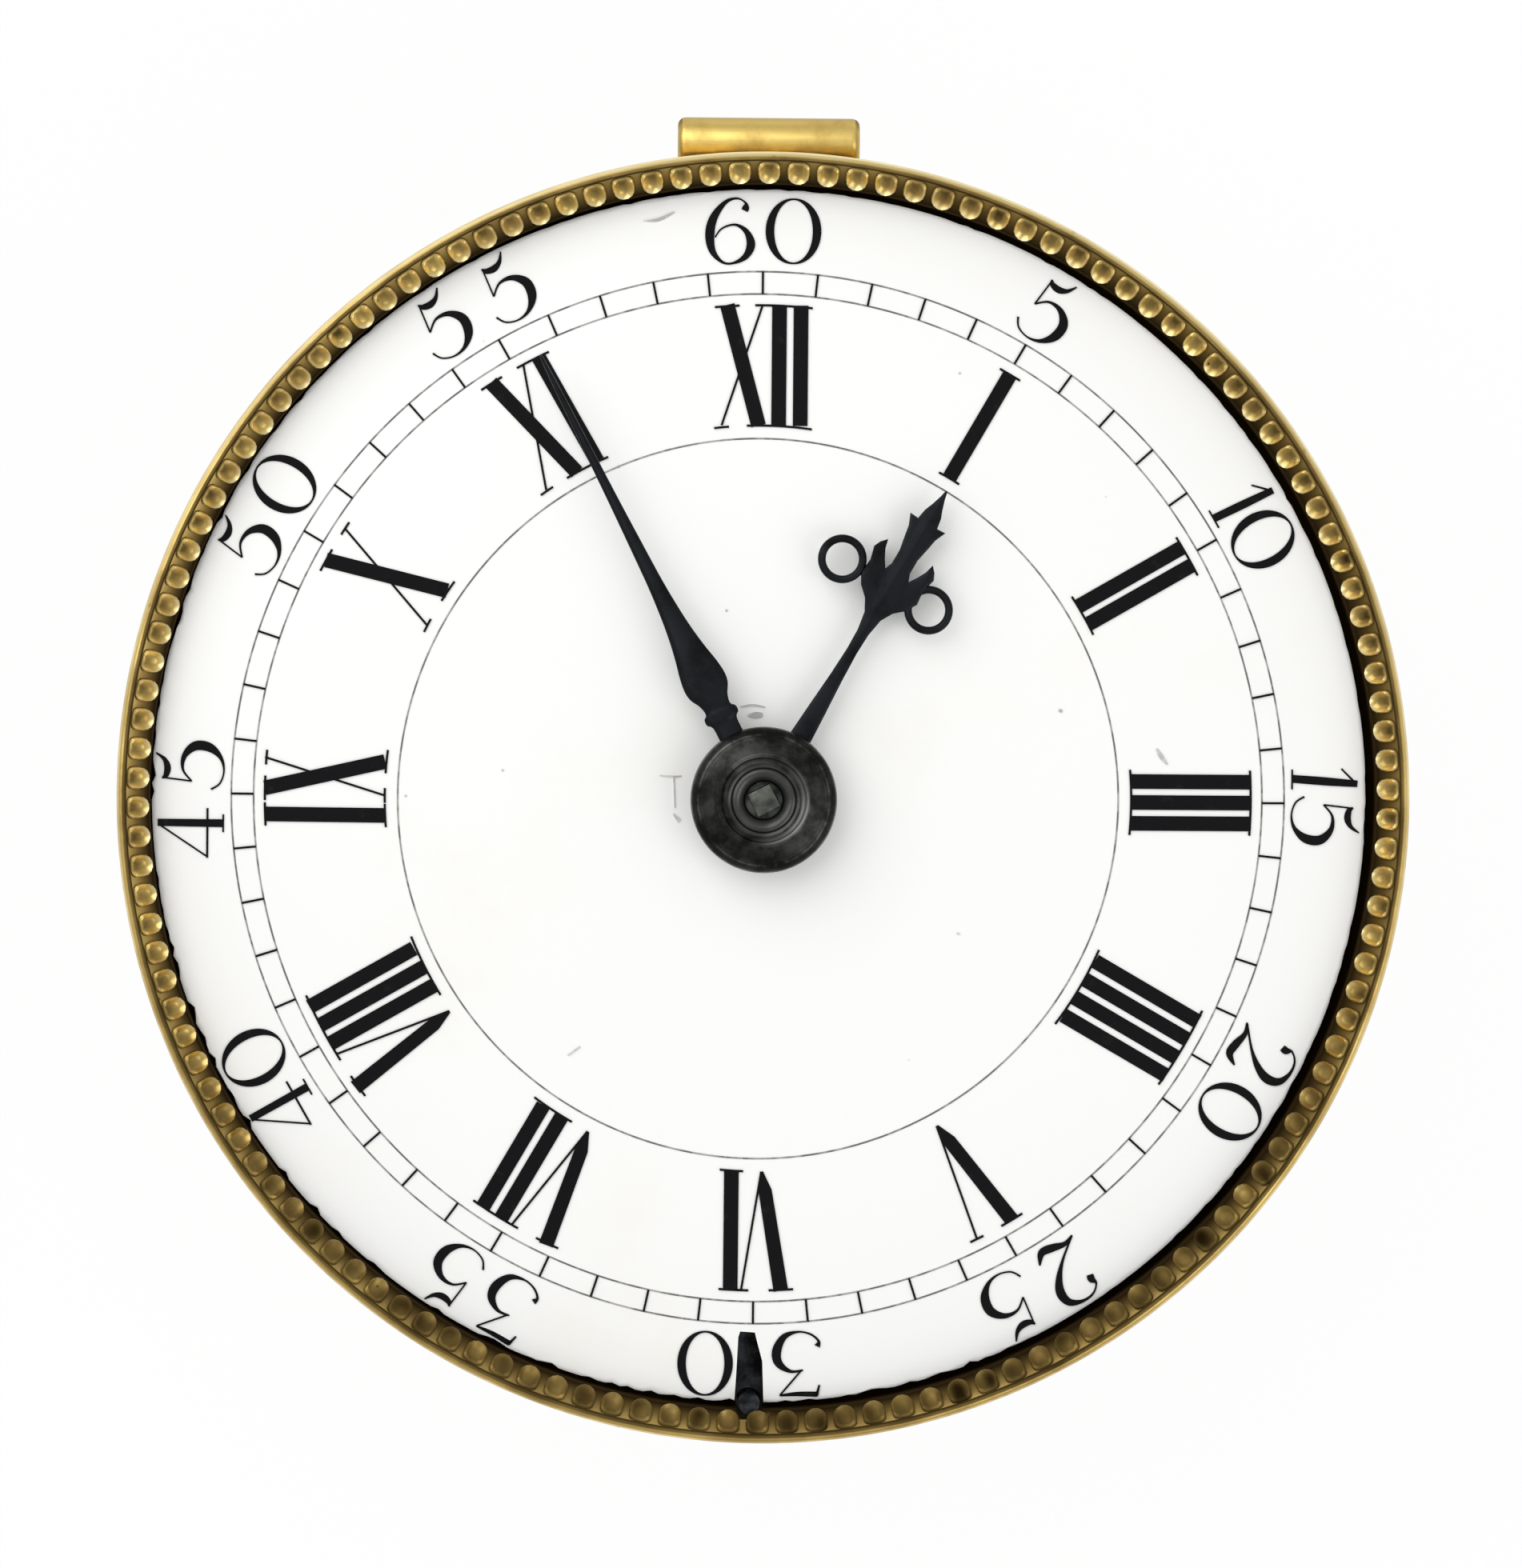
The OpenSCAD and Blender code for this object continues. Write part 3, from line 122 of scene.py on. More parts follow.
# The old dial lies a little off the arbor's axis, and so does its painting
DIAL_SHIFT = (-0.13, 0.02)
PAINT_SHIFT = (-0.17, -0.02)
# Engraved lines stand proud of their face by this much in mm, as a dark skin of painted shade for the cuts
ENGRAVED = 0.004
SLOTS = {p["node"]: p["material_slot"] for p in frame["record"]["subparts"]}
BODIES = {node: body for body, nodes in frame["record"]["behaviour"]["bodies"].items() for node in nodes}
# The bolt's spring is listed under the plates and the bolt, with points in metres at its screwed and its free end
BODIES["bolt_spring"] = ("plates", "bolt", ((NIB_X + 3.4) * MM, 0, 0), ((NIB_X + 0.7) * MM, 0, 0))


def dome(r):
    """Height of the enamel at a distance from the centre, in mm."""
    return EDGE_Z + (DOME_Z - EDGE_Z) * (1 - (r / DIAL_R) ** 2)


def polar(r, degrees):
    a = math.radians(degrees)
    return r * math.cos(a), r * math.sin(a)


def clamp(value, least=0.0, most=1.0):
    return max(least, min(most, value))


# Modelling by hand, as functions


def deselect():
    bpy.ops.object.select_all(action="DESELECT")


def activate(obj):
    deselect()
    obj.select_set(True)
    bpy.context.view_layer.objects.active = obj


@contextmanager
def editing(obj):
    """Edit mode on one piece, with all of it selected."""
    activate(obj)
    bpy.ops.object.mode_set(mode="EDIT")
    bpy.ops.mesh.select_mode(type="VERT")
    bpy.ops.mesh.select_all(action="SELECT")
    yield
    bpy.ops.object.mode_set(mode="OBJECT")


def added(name):
    """Names the primitive that was just added."""
    obj = bpy.context.active_object
    obj.name = obj.data.name = name
    return obj


def settle(obj, smooth=None):
    """Puts the object's place into its mesh and smooths its faces below an angle in degrees."""
    activate(obj)
    bpy.ops.object.transform_apply(location=True, rotation=True, scale=True)
    if smooth is not None:
        bpy.ops.object.shade_smooth_by_angle(angle=math.radians(smooth))
    return obj


def modify(obj, kind, **values):
    """Adds a modifier and applies it."""
    activate(obj)
    modifier = obj.modifiers.new(kind.title(), kind)
    for key, value in values.items():
        setattr(modifier, key, value)
    bpy.ops.object.modifier_apply(modifier=modifier.name)
    return obj


def ease(obj, width):
    """Rounds the sharp edges and keeps flat faces flat."""
    modify(obj, "BEVEL", width=width * MM, segments=2, limit_method="ANGLE", angle_limit=math.radians(35),
           use_clamp_overlap=False)
    settle(obj, 50)
    return modify(obj, "WEIGHTED_NORMAL", keep_sharp=True)


def cut(obj, cutter):
    """Cuts one piece out of another. The cutter goes."""
    modify(obj, "BOOLEAN", object=cutter, operation="DIFFERENCE", solver="EXACT")
    bpy.data.objects.remove(cutter)


def join(name, pieces):
    activate(pieces[0])
    for piece in pieces:
        piece.select_set(True)
    bpy.ops.object.join()
    obj = added(name)
    deselect()
    return obj


def merge_doubles(gap):
    """Merges the selected points that lie nearer than a gap in mm, and turns the faces outwards."""
    bpy.ops.mesh.remove_doubles(threshold=gap * MM)
    bpy.ops.mesh.normals_make_consistent(inside=False)


def weld(obj):
    """Merges the doubled points of a piece."""
    with editing(obj):
        merge_doubles(0.001)


def close_ends(obj, sides):
    """Fills the open ends of a tube with faces of up to so many sides."""
    with editing(obj):
        bpy.ops.mesh.fill_holes(sides=sides)
        bpy.ops.mesh.normals_make_consistent(inside=False)
    return obj


def lathe(name, profile, steps, centre=CENTRE, closed=True, smooth=40):
    """Spins a profile of (radius, height) points in mm about an upright axis."""
    points = list(profile) + ([profile[0]] if closed else [])
    deselect()
    start = ((centre[0] + points[0][0]) * MM, centre[1] * MM, points[0][1] * MM)
    bpy.ops.mesh.primitive_plane_add(size=MM, location=start)
    obj = added(name)
    with editing(obj):
        bpy.ops.mesh.merge(type="CENTER")
        for (r0, z0), (r1, z1) in zip(points, points[1:]):
            step = ((r1 - r0) * MM, 0, (z1 - z0) * MM)
            bpy.ops.mesh.extrude_region_move(TRANSFORM_OT_translate={"value": step})
        bpy.ops.mesh.select_all(action="SELECT")
        bpy.ops.mesh.spin(steps=steps, angle=2 * math.pi, center=(centre[0] * MM, centre[1] * MM, 0), axis=(0, 0, 1))
        bpy.ops.mesh.select_all(action="SELECT")
        merge_doubles(0.002)
    return settle(obj, smooth)


def grid(name, across, along, place, wrap=False):
    """A grid whose points are set by place(u, v) in mm, with u and v from 0 to 1."""
    deselect()
    bpy.ops.mesh.primitive_grid_add(x_subdivisions=across, y_subdivisions=along, size=1)
    obj = added(name)
    for vertex in obj.data.vertices:
        vertex.co = Vector(place(vertex.co.x + 0.5, vertex.co.y + 0.5)) * MM
    if wrap:
        weld(obj)
    return obj


def mark_hollow(obj, rule):
    """Stores a mark for each point, by rule(x, y, z) in mm: from -1 for a painted highlight on a crest, up to 1 for the
    deepest tarnish and painted shade in a hollow.
    """
    layer = obj.data.attributes.new("hollow", "FLOAT", "POINT")
    for vertex, value in zip(obj.data.vertices, layer.data):
        value.value = clamp(rule(*(vertex.co / MM)), -1.0)


def circle(r, steps, centre=CENTRE):
    return [(centre[0] + r * math.cos(2 * math.pi * i / steps), centre[1] + r * math.sin(2 * math.pi * i / steps))
            for i in range(steps)]


def box_outline(x, y, width, depth):
    return [(x + i * width / 2, y + j * depth / 2) for i, j in ((-1, -1), (1, -1), (1, 1), (-1, 1))]


def cut_sheet(name, outlines, z0, z1, bevel=0.0):
    """A flat piece between two heights: closed outlines in mm, the inner ones cut out of the outer."""
    deselect()
    bpy.ops.curve.primitive_bezier_circle_add(radius=MM)
    obj = added(name)
    curve = obj.data
    curve.splines.clear()
    curve.dimensions, curve.fill_mode = "2D", "BOTH"
    for outline in outlines:
        spline = curve.splines.new("POLY")
        spline.points.add(len(outline) - 1)
        for point, (x, y) in zip(spline.points, outline):
            point.co = (x * MM, y * MM, 0, 1)
        spline.use_cyclic_u = True
    curve.offset, curve.bevel_depth = -bevel * MM, bevel * MM
    curve.bevel_resolution = 2 if bevel else 0
    curve.extrude = ((z1 - z0) / 2 - bevel) * MM
    obj.location.z = (z0 + z1) / 2 * MM
    activate(obj)
    bpy.ops.object.convert(target="MESH")
    obj = settle(added(name))
    weld(obj)
    return settle(obj, 50)


def rod(name, r, z0, z1, centre, steps, edge=0.05):
    """A turned rod with eased ends."""
    return lathe(name, [(0, z0), (r - edge, z0), (r, z0 + edge), (r, z1 - edge), (r - edge, z1), (0, z1)], steps,
                 centre, closed=False)


def copies(name, source, matrices):
    """One mesh with a copy of the source's mesh at each matrix. The source goes."""
    made = bmesh.new()
    for matrix in matrices:
        part = source.data.copy()
        part.transform(matrix)
        made.from_mesh(part)
        bpy.data.meshes.remove(part)
    mesh = bpy.data.meshes.new(name)
    made.to_mesh(mesh)
    made.free()
    obj = bpy.data.objects.new(name, mesh)
    bpy.context.scene.collection.objects.link(obj)
    bpy.data.objects.remove(source)
    return obj


def finish(obj, body, material, slot, *nodes):
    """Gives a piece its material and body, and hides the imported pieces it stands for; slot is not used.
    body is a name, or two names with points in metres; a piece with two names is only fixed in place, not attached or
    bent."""
    obj.data.materials.clear()
    obj.data.materials.append(MATERIALS[material])
    if isinstance(body, str):
        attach(obj, body)
    else:
        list(body)
        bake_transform(obj)
    if nodes:
        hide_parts(*nodes)


def stand_in(obj, node, material):
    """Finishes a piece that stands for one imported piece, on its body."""
    finish(obj, BODIES[node], material, SLOTS[node], node)


def dress(node, material, width):
    """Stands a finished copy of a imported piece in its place, with eased edges and smooth curves."""
    obj = bpy.data.objects.new(node + "_finished", frame["nodes"][node].data.copy())
    bpy.context.scene.collection.objects.link(obj)
    with editing(obj):
        bpy.ops.mesh.remove_doubles(threshold=0.0005 * MM)
        bpy.ops.mesh.dissolve_limited(angle_limit=math.radians(0.5))
    stand_in(ease(obj, width), node, material)


# Strokes of painted and engraved lines


def through(points, count):
    """A smooth run of points through the given ones, each a tuple of numbers."""
    out = []
    last = len(points) - 1
    for i in range(count):
        t = i / (count - 1) * last
        k = min(int(t), last - 1)
        f = t - k
        p0, p1, p2, p3 = (points[clamp(j, 0, last)] for j in (k - 1, k, k + 1, k + 2))
        out.append(tuple(0.5 * (2 * b + (c - a) * f + (2 * a - 5 * b + 4 * c - d) * f * f
                                + (3 * b - a - 3 * c + d) * f ** 3) for a, b, c, d in zip(p0, p1, p2, p3)))
    return out


def ribbon(points, place, steps=None):
    """A stroke through (x, y, width) points, laid on a surface by place(x, y)."""
    count = steps or max(2, 5 * (len(points) - 1) + 1)
    line = through(points, count) if len(points) > 2 else [
        tuple(a + (b - a) * i / (count - 1) for a, b in zip(*points)) for i in range(count)]
    sides = []
    for i, (x, y, w) in enumerate(line):
        x0, y0, _ = line[max(0, i - 1)]
        x1, y1, _ = line[min(count - 1, i + 1)]
        dx, dy = x1 - x0, y1 - y0
        size = math.hypot(dx, dy) or 1
        nx, ny = -dy / size * w / 2, dx / size * w / 2
        sides.append(((x + nx, y + ny), (x - nx, y - ny)))

    def at(u, v):
        left, right = sides[round(u * (count - 1))]
        return place(left[0] + (right[0] - left[0]) * v, left[1] + (right[1] - left[1]) * v)
    return grid("stroke", count - 1, 1, at)


def face(z, degrees=0, centre=CENTRE, flip=1):
    """Places (x, y) on a level face, turned about a centre. With flip -1 it is read from behind."""
    c, s = polar(1, degrees)
    return lambda x, y: (centre[0] + flip * c * x - s * y, centre[1] + flip * s * x + c * y, z)


def line_work(name, strokes, material, slot="enamel", body="plates", place=None):
    """Joins strokes into one thin piece: paint lies under its surface, and engraving on both sides of it."""
    obj = join(name, strokes)
    if slot == "enamel":
        modify(obj, "SOLIDIFY", thickness=0.03 * MM, offset=-1)
    else:
        modify(obj, "SOLIDIFY", thickness=0.012 * MM, offset=0)
    if place:
        obj.matrix_world = place
    finish(settle(obj, 30), body, material, slot)


# Shaders

GROUPS = {}
MATERIALS = {}


class Nodes:
    """A node tree, with short ways to add and link nodes. A node given as a value stands for its first output."""

    def __init__(self, tree):
        self.tree = tree

    def add(self, kind, inputs=None, **attributes):
        node = self.tree.nodes.new(kind)
        for key, value in attributes.items():
            setattr(node, key, value)
        self.feed(node, inputs or {})
        return node

    def feed(self, node, inputs):
        for key, value in inputs.items():
            if isinstance(value, bpy.types.Node):
                value = value.outputs[0]
            if isinstance(value, bpy.types.NodeSocket):
                self.tree.links.new(value, node.inputs[key])
            else:
                node.inputs[key].default_value = value

    def math(self, operation, *values, **attributes):
        return self.add("ShaderNodeMath", dict(enumerate(values)), operation=operation, **attributes)

    def mix(self, factor, first, second):
        """Mixes two colours and gives the colour."""
        return self.add("ShaderNodeMix", {0: factor, 6: first, 7: second}, data_type="RGBA").outputs[2]


class Surface(Nodes):
    """A material with one Principled shader. Keywords name the shader's sockets, with _ for a space."""

    def __init__(self, name, **values):
        self.material = bpy.data.materials.new(name)
        self.material.use_nodes = True
        super().__init__(self.material.node_tree)
        self.drive(**values)
        self.coords = None

    def drive(self, **values):
        shader = self.tree.nodes["Principled BSDF"]
        self.feed(shader, {key.replace("_", " "): value for key, value in values.items()})
        return self.material

    def group(self, name, **inputs):
        """Places a shared group, fed with object coordinates."""
        self.coords = self.coords or self.add("ShaderNodeTexCoord").outputs["Object"]
        return self.add("ShaderNodeGroup", {"Vector": self.coords, **inputs}, node_tree=GROUPS[name])

    def hollow(self):
        # The point mark, named hollow: tarnish and painted shade above zero, painted highlight below zero.
        return self.add("ShaderNodeAttribute", attribute_name="hollow").outputs["Fac"]

    def bump(self, height, depth, strength):
        """A normal from a height, with the depth in mm."""
        return self.add("ShaderNodeBump", {"Height": height, "Strength": strength, "Distance": depth * MM})


def new_group(name, inputs, outputs):
    """An empty node group with a Vector input, more inputs by name and default, and outputs by name."""
    nodes = Nodes(bpy.data.node_groups.new(name, "ShaderNodeTree"))
    new_socket = nodes.tree.interface.new_socket
    new_socket("Vector", in_out="INPUT", socket_type="NodeSocketVector")
    for title, value in inputs.items():
        kind = {3: "Vector", 4: "Color"}[len(value)] if isinstance(value, tuple) else "Float"
        new_socket(title, in_out="INPUT", socket_type="NodeSocket" + kind).default_value = value
    for title in outputs:
        new_socket(title, in_out="OUTPUT", socket_type="NodeSocketColor" if title == "Color" else "NodeSocketFloat")
    GROUPS[name] = nodes.tree
    return nodes, nodes.tree.nodes.new("NodeGroupInput").outputs, nodes.tree.nodes.new("NodeGroupOutput")


def make_groups():
    # Blotches of two colours with fine specks, as on old gilding and enamel
    n, given, out = new_group("mottle", {"Light": WHITE, "Dark": (0.5, 0.5, 0.5, 1), "Size": 600.0, "Cover": 0.5,
                                         "Soft": 0.15}, ("Color", "Mask"))
    cloud = n.add("ShaderNodeTexNoise", {"Vector": given["Vector"], "Scale": given["Size"], "Detail": 6.0,
                                         "Roughness": 0.65})
    least, most = (n.math(operation, given["Cover"], given["Soft"]) for operation in ("SUBTRACT", "ADD"))
    mask = n.add("ShaderNodeMapRange", {"Value": cloud, "From Min": least, "From Max": most},
                 interpolation_type="SMOOTHSTEP")
    n.feed(out, {"Color": n.mix(mask, given["Dark"], given["Light"]), "Mask": mask})

    # Fine lines, drawn out by Stretch, for brushed and drawn metal
    n, given, out = new_group("grain", {"Stretch": (1, 20, 20), "Size": 2000.0}, ("Height",))
    scaled = n.add("ShaderNodeVectorMath", {0: given["Vector"], 1: given["Stretch"]}, operation="MULTIPLY")
    lines = n.add("ShaderNodeTexNoise", {"Vector": scaled, "Scale": given["Size"], "Detail": 3.0, "Roughness": 0.6})
    n.feed(out, {"Height": lines})

    # Turning marks: rings about the upright axis through Centre
    n, given, out = new_group("rings", {"Centre": (0, 0, 0), "Size": 9000.0}, ("Height",))
    offset = n.add("ShaderNodeVectorMath", {0: given["Vector"], 1: given["Centre"]}, operation="SUBTRACT")
    flat = n.add("ShaderNodeVectorMath", {0: offset, 1: (1, 1, 0)}, operation="MULTIPLY")
    length = n.add("ShaderNodeVectorMath", {0: flat}, operation="LENGTH").outputs["Value"]
    marks = n.add("ShaderNodeTexNoise", {"W": length, "Scale": given["Size"], "Detail": 2.0}, noise_dimensions="1D")
    n.feed(out, {"Height": marks})

    # Small pits and specks: a mask that is 1 in a speck
    n, given, out = new_group("pits", {"Size": 1500.0, "Reach": 0.15}, ("Mask",))
    cells = n.add("ShaderNodeTexVoronoi", {"Vector": given["Vector"], "Scale": given["Size"], "Randomness": 1.0})
    specks = n.add("ShaderNodeMapRange", {"Value": cells, "From Min": 0.0, "From Max": given["Reach"], "To Min": 1.0,
                                          "To Max": 0.0})
    n.feed(out, {"Mask": specks})


def metal(name, light, dark, rough, cover=0.42, size=260.0, grain=(1, 1, 14), grain_depth=0.004, specks=0.0,
          wear_and_highlight=None):
    """An aged metal: two colours in blotches, tarnish and painted shade darkening its hollows, if given a pale colour
    for wear and painted highlights on its crests, and its roughness and fine lines.
    """
    s = Surface(name, Metallic=1.0, Roughness=rough)
    patina = s.group("mottle", Light=(*light, 1), Dark=(*dark, 1), Size=size, Cover=cover, Soft=0.16)
    dirt = s.hollow()
    if specks:
        dirt = s.math("MAXIMUM", dirt, s.group("pits", Size=900.0, Reach=specks))
    # Tarnish, specks and painted shade darken the hollows towards about a tenth of the dark colour.
    color = s.mix(dirt, patina, (dark[0] * 0.1, dark[1] * 0.085, dark[2] * 0.08, 1))
    # Where the mark is below zero, the pale colour paints highlights on crests and edges, along with wear.
    if wear_and_highlight:
        color = s.mix(s.math("MULTIPLY", s.hollow(), -0.9, use_clamp=True), color, (*wear_and_highlight, 1))
    dull = s.add("ShaderNodeMapRange", {"Value": patina.outputs["Mask"], "From Min": 0.0, "From Max": 1.0,
                                        "To Min": min(1, rough + 0.2), "To Max": rough})
    lines = s.group("grain", Stretch=grain, Size=1400.0)
    return s.drive(Base_Color=color, Roughness=s.math("MAXIMUM", dull, dirt), Normal=s.bump(lines, grain_depth, 0.6))


def ink(name, light, dark, cover):
    """Fired black paint, with paler patches of wear."""
    s = Surface(name, Roughness=0.6, Specular_IOR_Level=0.1)
    return s.drive(Base_Color=s.group("mottle", Light=(*light, 1), Dark=(*dark, 1), Size=1600.0, Cover=cover, Soft=0.1))


def enamel(name, light):
    """White enamel with a faint warm cloud, small pits and a wavy gloss."""
    s = Surface(name, Roughness=0.2, Coat_Weight=0.25, Coat_Roughness=0.1, IOR=1.45)
    cloud = s.group("mottle", Light=(*light, 1), Dark=(0.94, 0.925, 0.86, 1), Size=70.0, Cover=0.34, Soft=0.14)
    waves = s.group("grain", Stretch=(1, 1, 1), Size=500.0)
    color = s.mix(s.group("pits", Size=420.0, Reach=0.03), cloud, (0.3, 0.27, 0.22, 1))
    return s.drive(Base_Color=color, Normal=s.bump(waves, 0.01, 0.35))


def boss_steel(name):
    """Nearly black steel, its turning marks bright with wear in places, and a painted highlight where the hollow mark
    is below zero.
    """
    s = Surface(name, Metallic=1.0, Roughness=0.34)
    patina = s.group("mottle", Light=(0.045, 0.046, 0.042, 1), Dark=(0.012, 0.012, 0.012, 1), Size=1100.0,
                     Cover=0.52, Soft=0.16)
    marks = s.group("rings", Size=3200.0)
    bright = s.add("ShaderNodeMapRange", {"Value": marks, "From Min": 0.55, "From Max": 0.7})
    # Wear on the turning marks, and the painted highlight where the hollow mark is below zero.
    rubbed_marks_and_highlight = s.math("MULTIPLY_ADD", s.hollow(), -1.0, s.math("MULTIPLY", bright, patina.outputs["Mask"]),
                    use_clamp=True)
    return s.drive(Base_Color=s.mix(rubbed_marks_and_highlight, patina, (0.2, 0.205, 0.19, 1)), Normal=s.bump(marks, 0.02, 0.8))


def garnet(name):
    s = Surface(name, Roughness=0.08, Transmission_Weight=0.6, IOR=1.76)
    return s.drive(Base_Color=s.group("mottle", Light=(0.6, 0.04, 0.1, 1), Dark=(0.3, 0.01, 0.03, 1), Size=2000.0))


def make_materials(look):
    make_groups()
    even = (6, 6, 6)
    # By key: name, light colour, dark colour, roughness, and what differs from other metals
    for key, (name, light, dark, rough, more) in {
            # The gilding's pale colour gives the painted highlights on the beads and the lip, with their wear.
            "gilt": ("rim_gilding", look.gilt_color, look.tarnish_color, 0.26,
                     dict(cover=0.5, size=420.0, specks=0.12, wear_and_highlight=(1.0, 0.86, 0.46))),
            "gilt_flat": ("plate_gilding", (0.74, 0.51, 0.2), (0.55, 0.36, 0.13), 0.34,
                          dict(size=180.0, grain=even, specks=0.1)),
            "polished": ("polished_gilding", (0.9, 0.66, 0.2), (0.55, 0.36, 0.1), 0.32,
                         dict(size=420.0, grain=(1, 16, 16), grain_depth=0.006)),
            "cock": ("cock_gilding", (0.86, 0.62, 0.26), (0.62, 0.41, 0.14), 0.28, dict(size=300.0, grain=even)),
            # A dark skin of painted shade stands for the shade inside engraved cuts.
            "engraved": ("painted_engraving_shade", (0.09, 0.055, 0.02), (0.04, 0.025, 0.01), 0.6, {}),
            "brass": ("wheel_brass", (0.72, 0.52, 0.22), (0.4, 0.26, 0.1), 0.26, dict(size=300.0)),
            "steel": ("grey_steel", (0.5, 0.51, 0.53), (0.24, 0.23, 0.22), 0.22, dict(size=420.0, specks=0.08)),
            "bolt": ("dirty_steel", (0.07, 0.078, 0.09), (0.012, 0.012, 0.013), 0.36, dict(size=900.0, cover=0.5)),
            "square": ("worn_dark_steel", (0.15, 0.158, 0.135), (0.05, 0.054, 0.046), 0.34,
                       dict(size=1500.0, cover=0.5)),
            "chain": ("oiled_steel", (0.27, 0.275, 0.26), (0.09, 0.09, 0.08), 0.3, dict(size=900.0)),
            "blued": ("blued_steel", (0.022, 0.038, 0.11), (0.015, 0.015, 0.03), 0.2, dict(size=380.0)),
            "hand": ("blackened_steel", (0.019, 0.021, 0.024), (0.009, 0.009, 0.009), 0.34,
                     dict(size=700.0, grain=(4, 4, 4))),
            "silvered": ("silvered_brass", (0.78, 0.77, 0.72), (0.5, 0.46, 0.38), 0.34, dict(size=300.0))}.items():
        MATERIALS[key] = metal(name, light, dark, rough, **more)
    MATERIALS.update(
        boss=boss_steel("worn_black_steel"), enamel=enamel("white_enamel", look.enamel_color),
        ruby=garnet("garnet_endstone"), ink=ink("black_dial_paint", look.ink_color, (0.014, 0.014, 0.014), 0.32),
        thin_ink=ink("thin_dial_paint", (0.16, 0.16, 0.16), (0.42, 0.42, 0.41), 0.48),
        mark=ink("old_scratches", (0.5, 0.5, 0.47), (0.75, 0.74, 0.7), 0.5))


# Settings that a user would change


def tint(name, description, default):
    return FloatVectorProperty(name=name, description=description, subtype="COLOR", default=default, min=0, max=1)


def measure(name, description, default, least, most):
    return FloatProperty(name=name, description=description, default=default, min=least, max=most)


class MovementLook(bpy.types.PropertyGroup):
    """Colours of the movement's finishes"""
    gilt_color: tint("Gilding", "Colour of clean gilding", (0.74, 0.53, 0.17))
    # The tarnish colour, darkened to about a tenth, also gives the painted shade in the hollows.
    tarnish_color: tint("Tarnish", "Colour of dull gilding in the hollows", (0.47, 0.32, 0.1))
    enamel_color: tint("Enamel", "Colour of the dial's enamel", (0.975, 0.975, 0.955))
    ink_color: tint("Paint", "Colour of the numerals", (0.004, 0.004, 0.005))


class MovementDial(bpy.types.PropertyGroup):
    """Sizes of the dial's painting"""
    track_outer: measure("Outer ring", "Radius of the minute track's outer ring in mm", 17.14, 15, 18)
    track_inner: measure("Inner ring", "Radius of the minute track's inner ring in mm", 16.41, 15, 18)
    chapter_inner: measure("Chapter ring", "Radius of the ring inside the hours in mm", 11.71, 9, 13)
    roman_top: measure("Hour tops", "Radius of the tops of the hour numerals in mm", 16.04, 14, 16.2)
    roman_foot: measure("Hour feet", "Radius of the feet of the hour numerals in mm", 12.13, 11, 13)
    roman_thick: measure("Thick stroke", "Width of a thick stroke in mm", 0.48, 0.2, 0.6)
    hair: measure("Hairline", "Width of a thin stroke in mm", 0.07, 0.02, 0.2)
    digit_foot: measure("Digit feet", "Radius of the feet of the minute numbers in mm", 17.36, 17, 18)
    digit_height: measure("Digit height", "Height of the minute numbers in mm", 2.2, 1, 2.6)


class MovementRim(bpy.types.PropertyGroup):
    """Sizes of the rim"""
    beads: IntProperty(name="Beads", description="Number of beads round the rim", default=134, min=60, max=200)
    bead_width: measure("Bead width", "Width of a bead along the rim in mm", 0.78, 0.4, 0.92)
    bead_rise: measure("Bead rise", "Height of a bead over the slope in mm", 0.2, 0.05, 0.3)


class MovementStage(bpy.types.PropertyGroup):
    """Camera and light"""
    lens: measure("Lens", "Focal length of the camera in mm", 240, 35, 400)
    side_tilt: measure("Side tilt", "How far the camera stands to the left, in degrees", 0.5, -30, 30)
    top_tilt: measure("Top tilt", "How far the camera stands towards 12, in degrees", 1.6, -30, 30)
    roll: measure("Roll", "Roll of the camera in degrees", 0.55, -10, 10)
    world_light: measure("World light", "Strength of the even light", 0.66, 0, 2)
    show_floor: BoolProperty(name="Floor", description="Lay a pale floor under the movement", default=True)


# The dial


def painted(clock_angle):
    """Places (sideways, outwards) in mm on the enamel at a clock angle."""
    cos, sin = polar(1, clock_angle)
    lift = 0.012

    def place(t, s):
        x, y = cos * t + sin * s + PAINT_SHIFT[0], -sin * t + cos * s + PAINT_SHIFT[1]
        return x, y, dome(math.hypot(x - DIAL_SHIFT[0], y - DIAL_SHIFT[1])) + lift
    return place


def roman_strokes(letters, dial):
    """Strokes of one hour numeral. Each letter is (kind, sideways places)."""
    top, foot, thick, hair = dial.roman_top, dial.roman_foot, dial.roman_thick, dial.hair
    # How far serifs reach to each side
    wide, wider, narrow = thick / 2 + 0.14, thick / 2 + 0.16, 0.24
    strokes = []

    def bar(t0, t1, width):
        strokes.append([(t0, top, width), (t1, foot, width)])

    def serif(t, radius, reach):
        places = (t - reach + 2 * reach * i / 3 for i in range(4))
        strokes.append([(q, math.sqrt(radius ** 2 - q * q), hair) for q in places])
    for kind, *places in letters:
        if kind == "I":
            bar(places[0], places[0], thick)
            serif(places[0], top, wide)
            serif(places[0], foot, wide)
        elif kind == "X":
            t_top, t_foot, hair_top, hair_foot = places
            bar(t_top, t_foot, thick)
            bar(hair_top, hair_foot, hair)
            serif(t_top, top, wider)
            serif(t_foot, foot, wide)
            serif(hair_top, top, narrow)
            serif(hair_foot, foot, narrow)
        else:
            t_top, t_foot, hair_top = places
            knee = (t_top + (t_foot - t_top) * 0.84, foot + 0.16 * (top - foot), thick * 0.9)
            strokes.append([(t_top, top, thick), knee])
            strokes.append([knee, (t_foot, foot, 0.06)])
            bar(hair_top, t_foot + 0.03, hair)
            serif(t_top, top, wider)
            serif(hair_top, top, narrow)
    return strokes


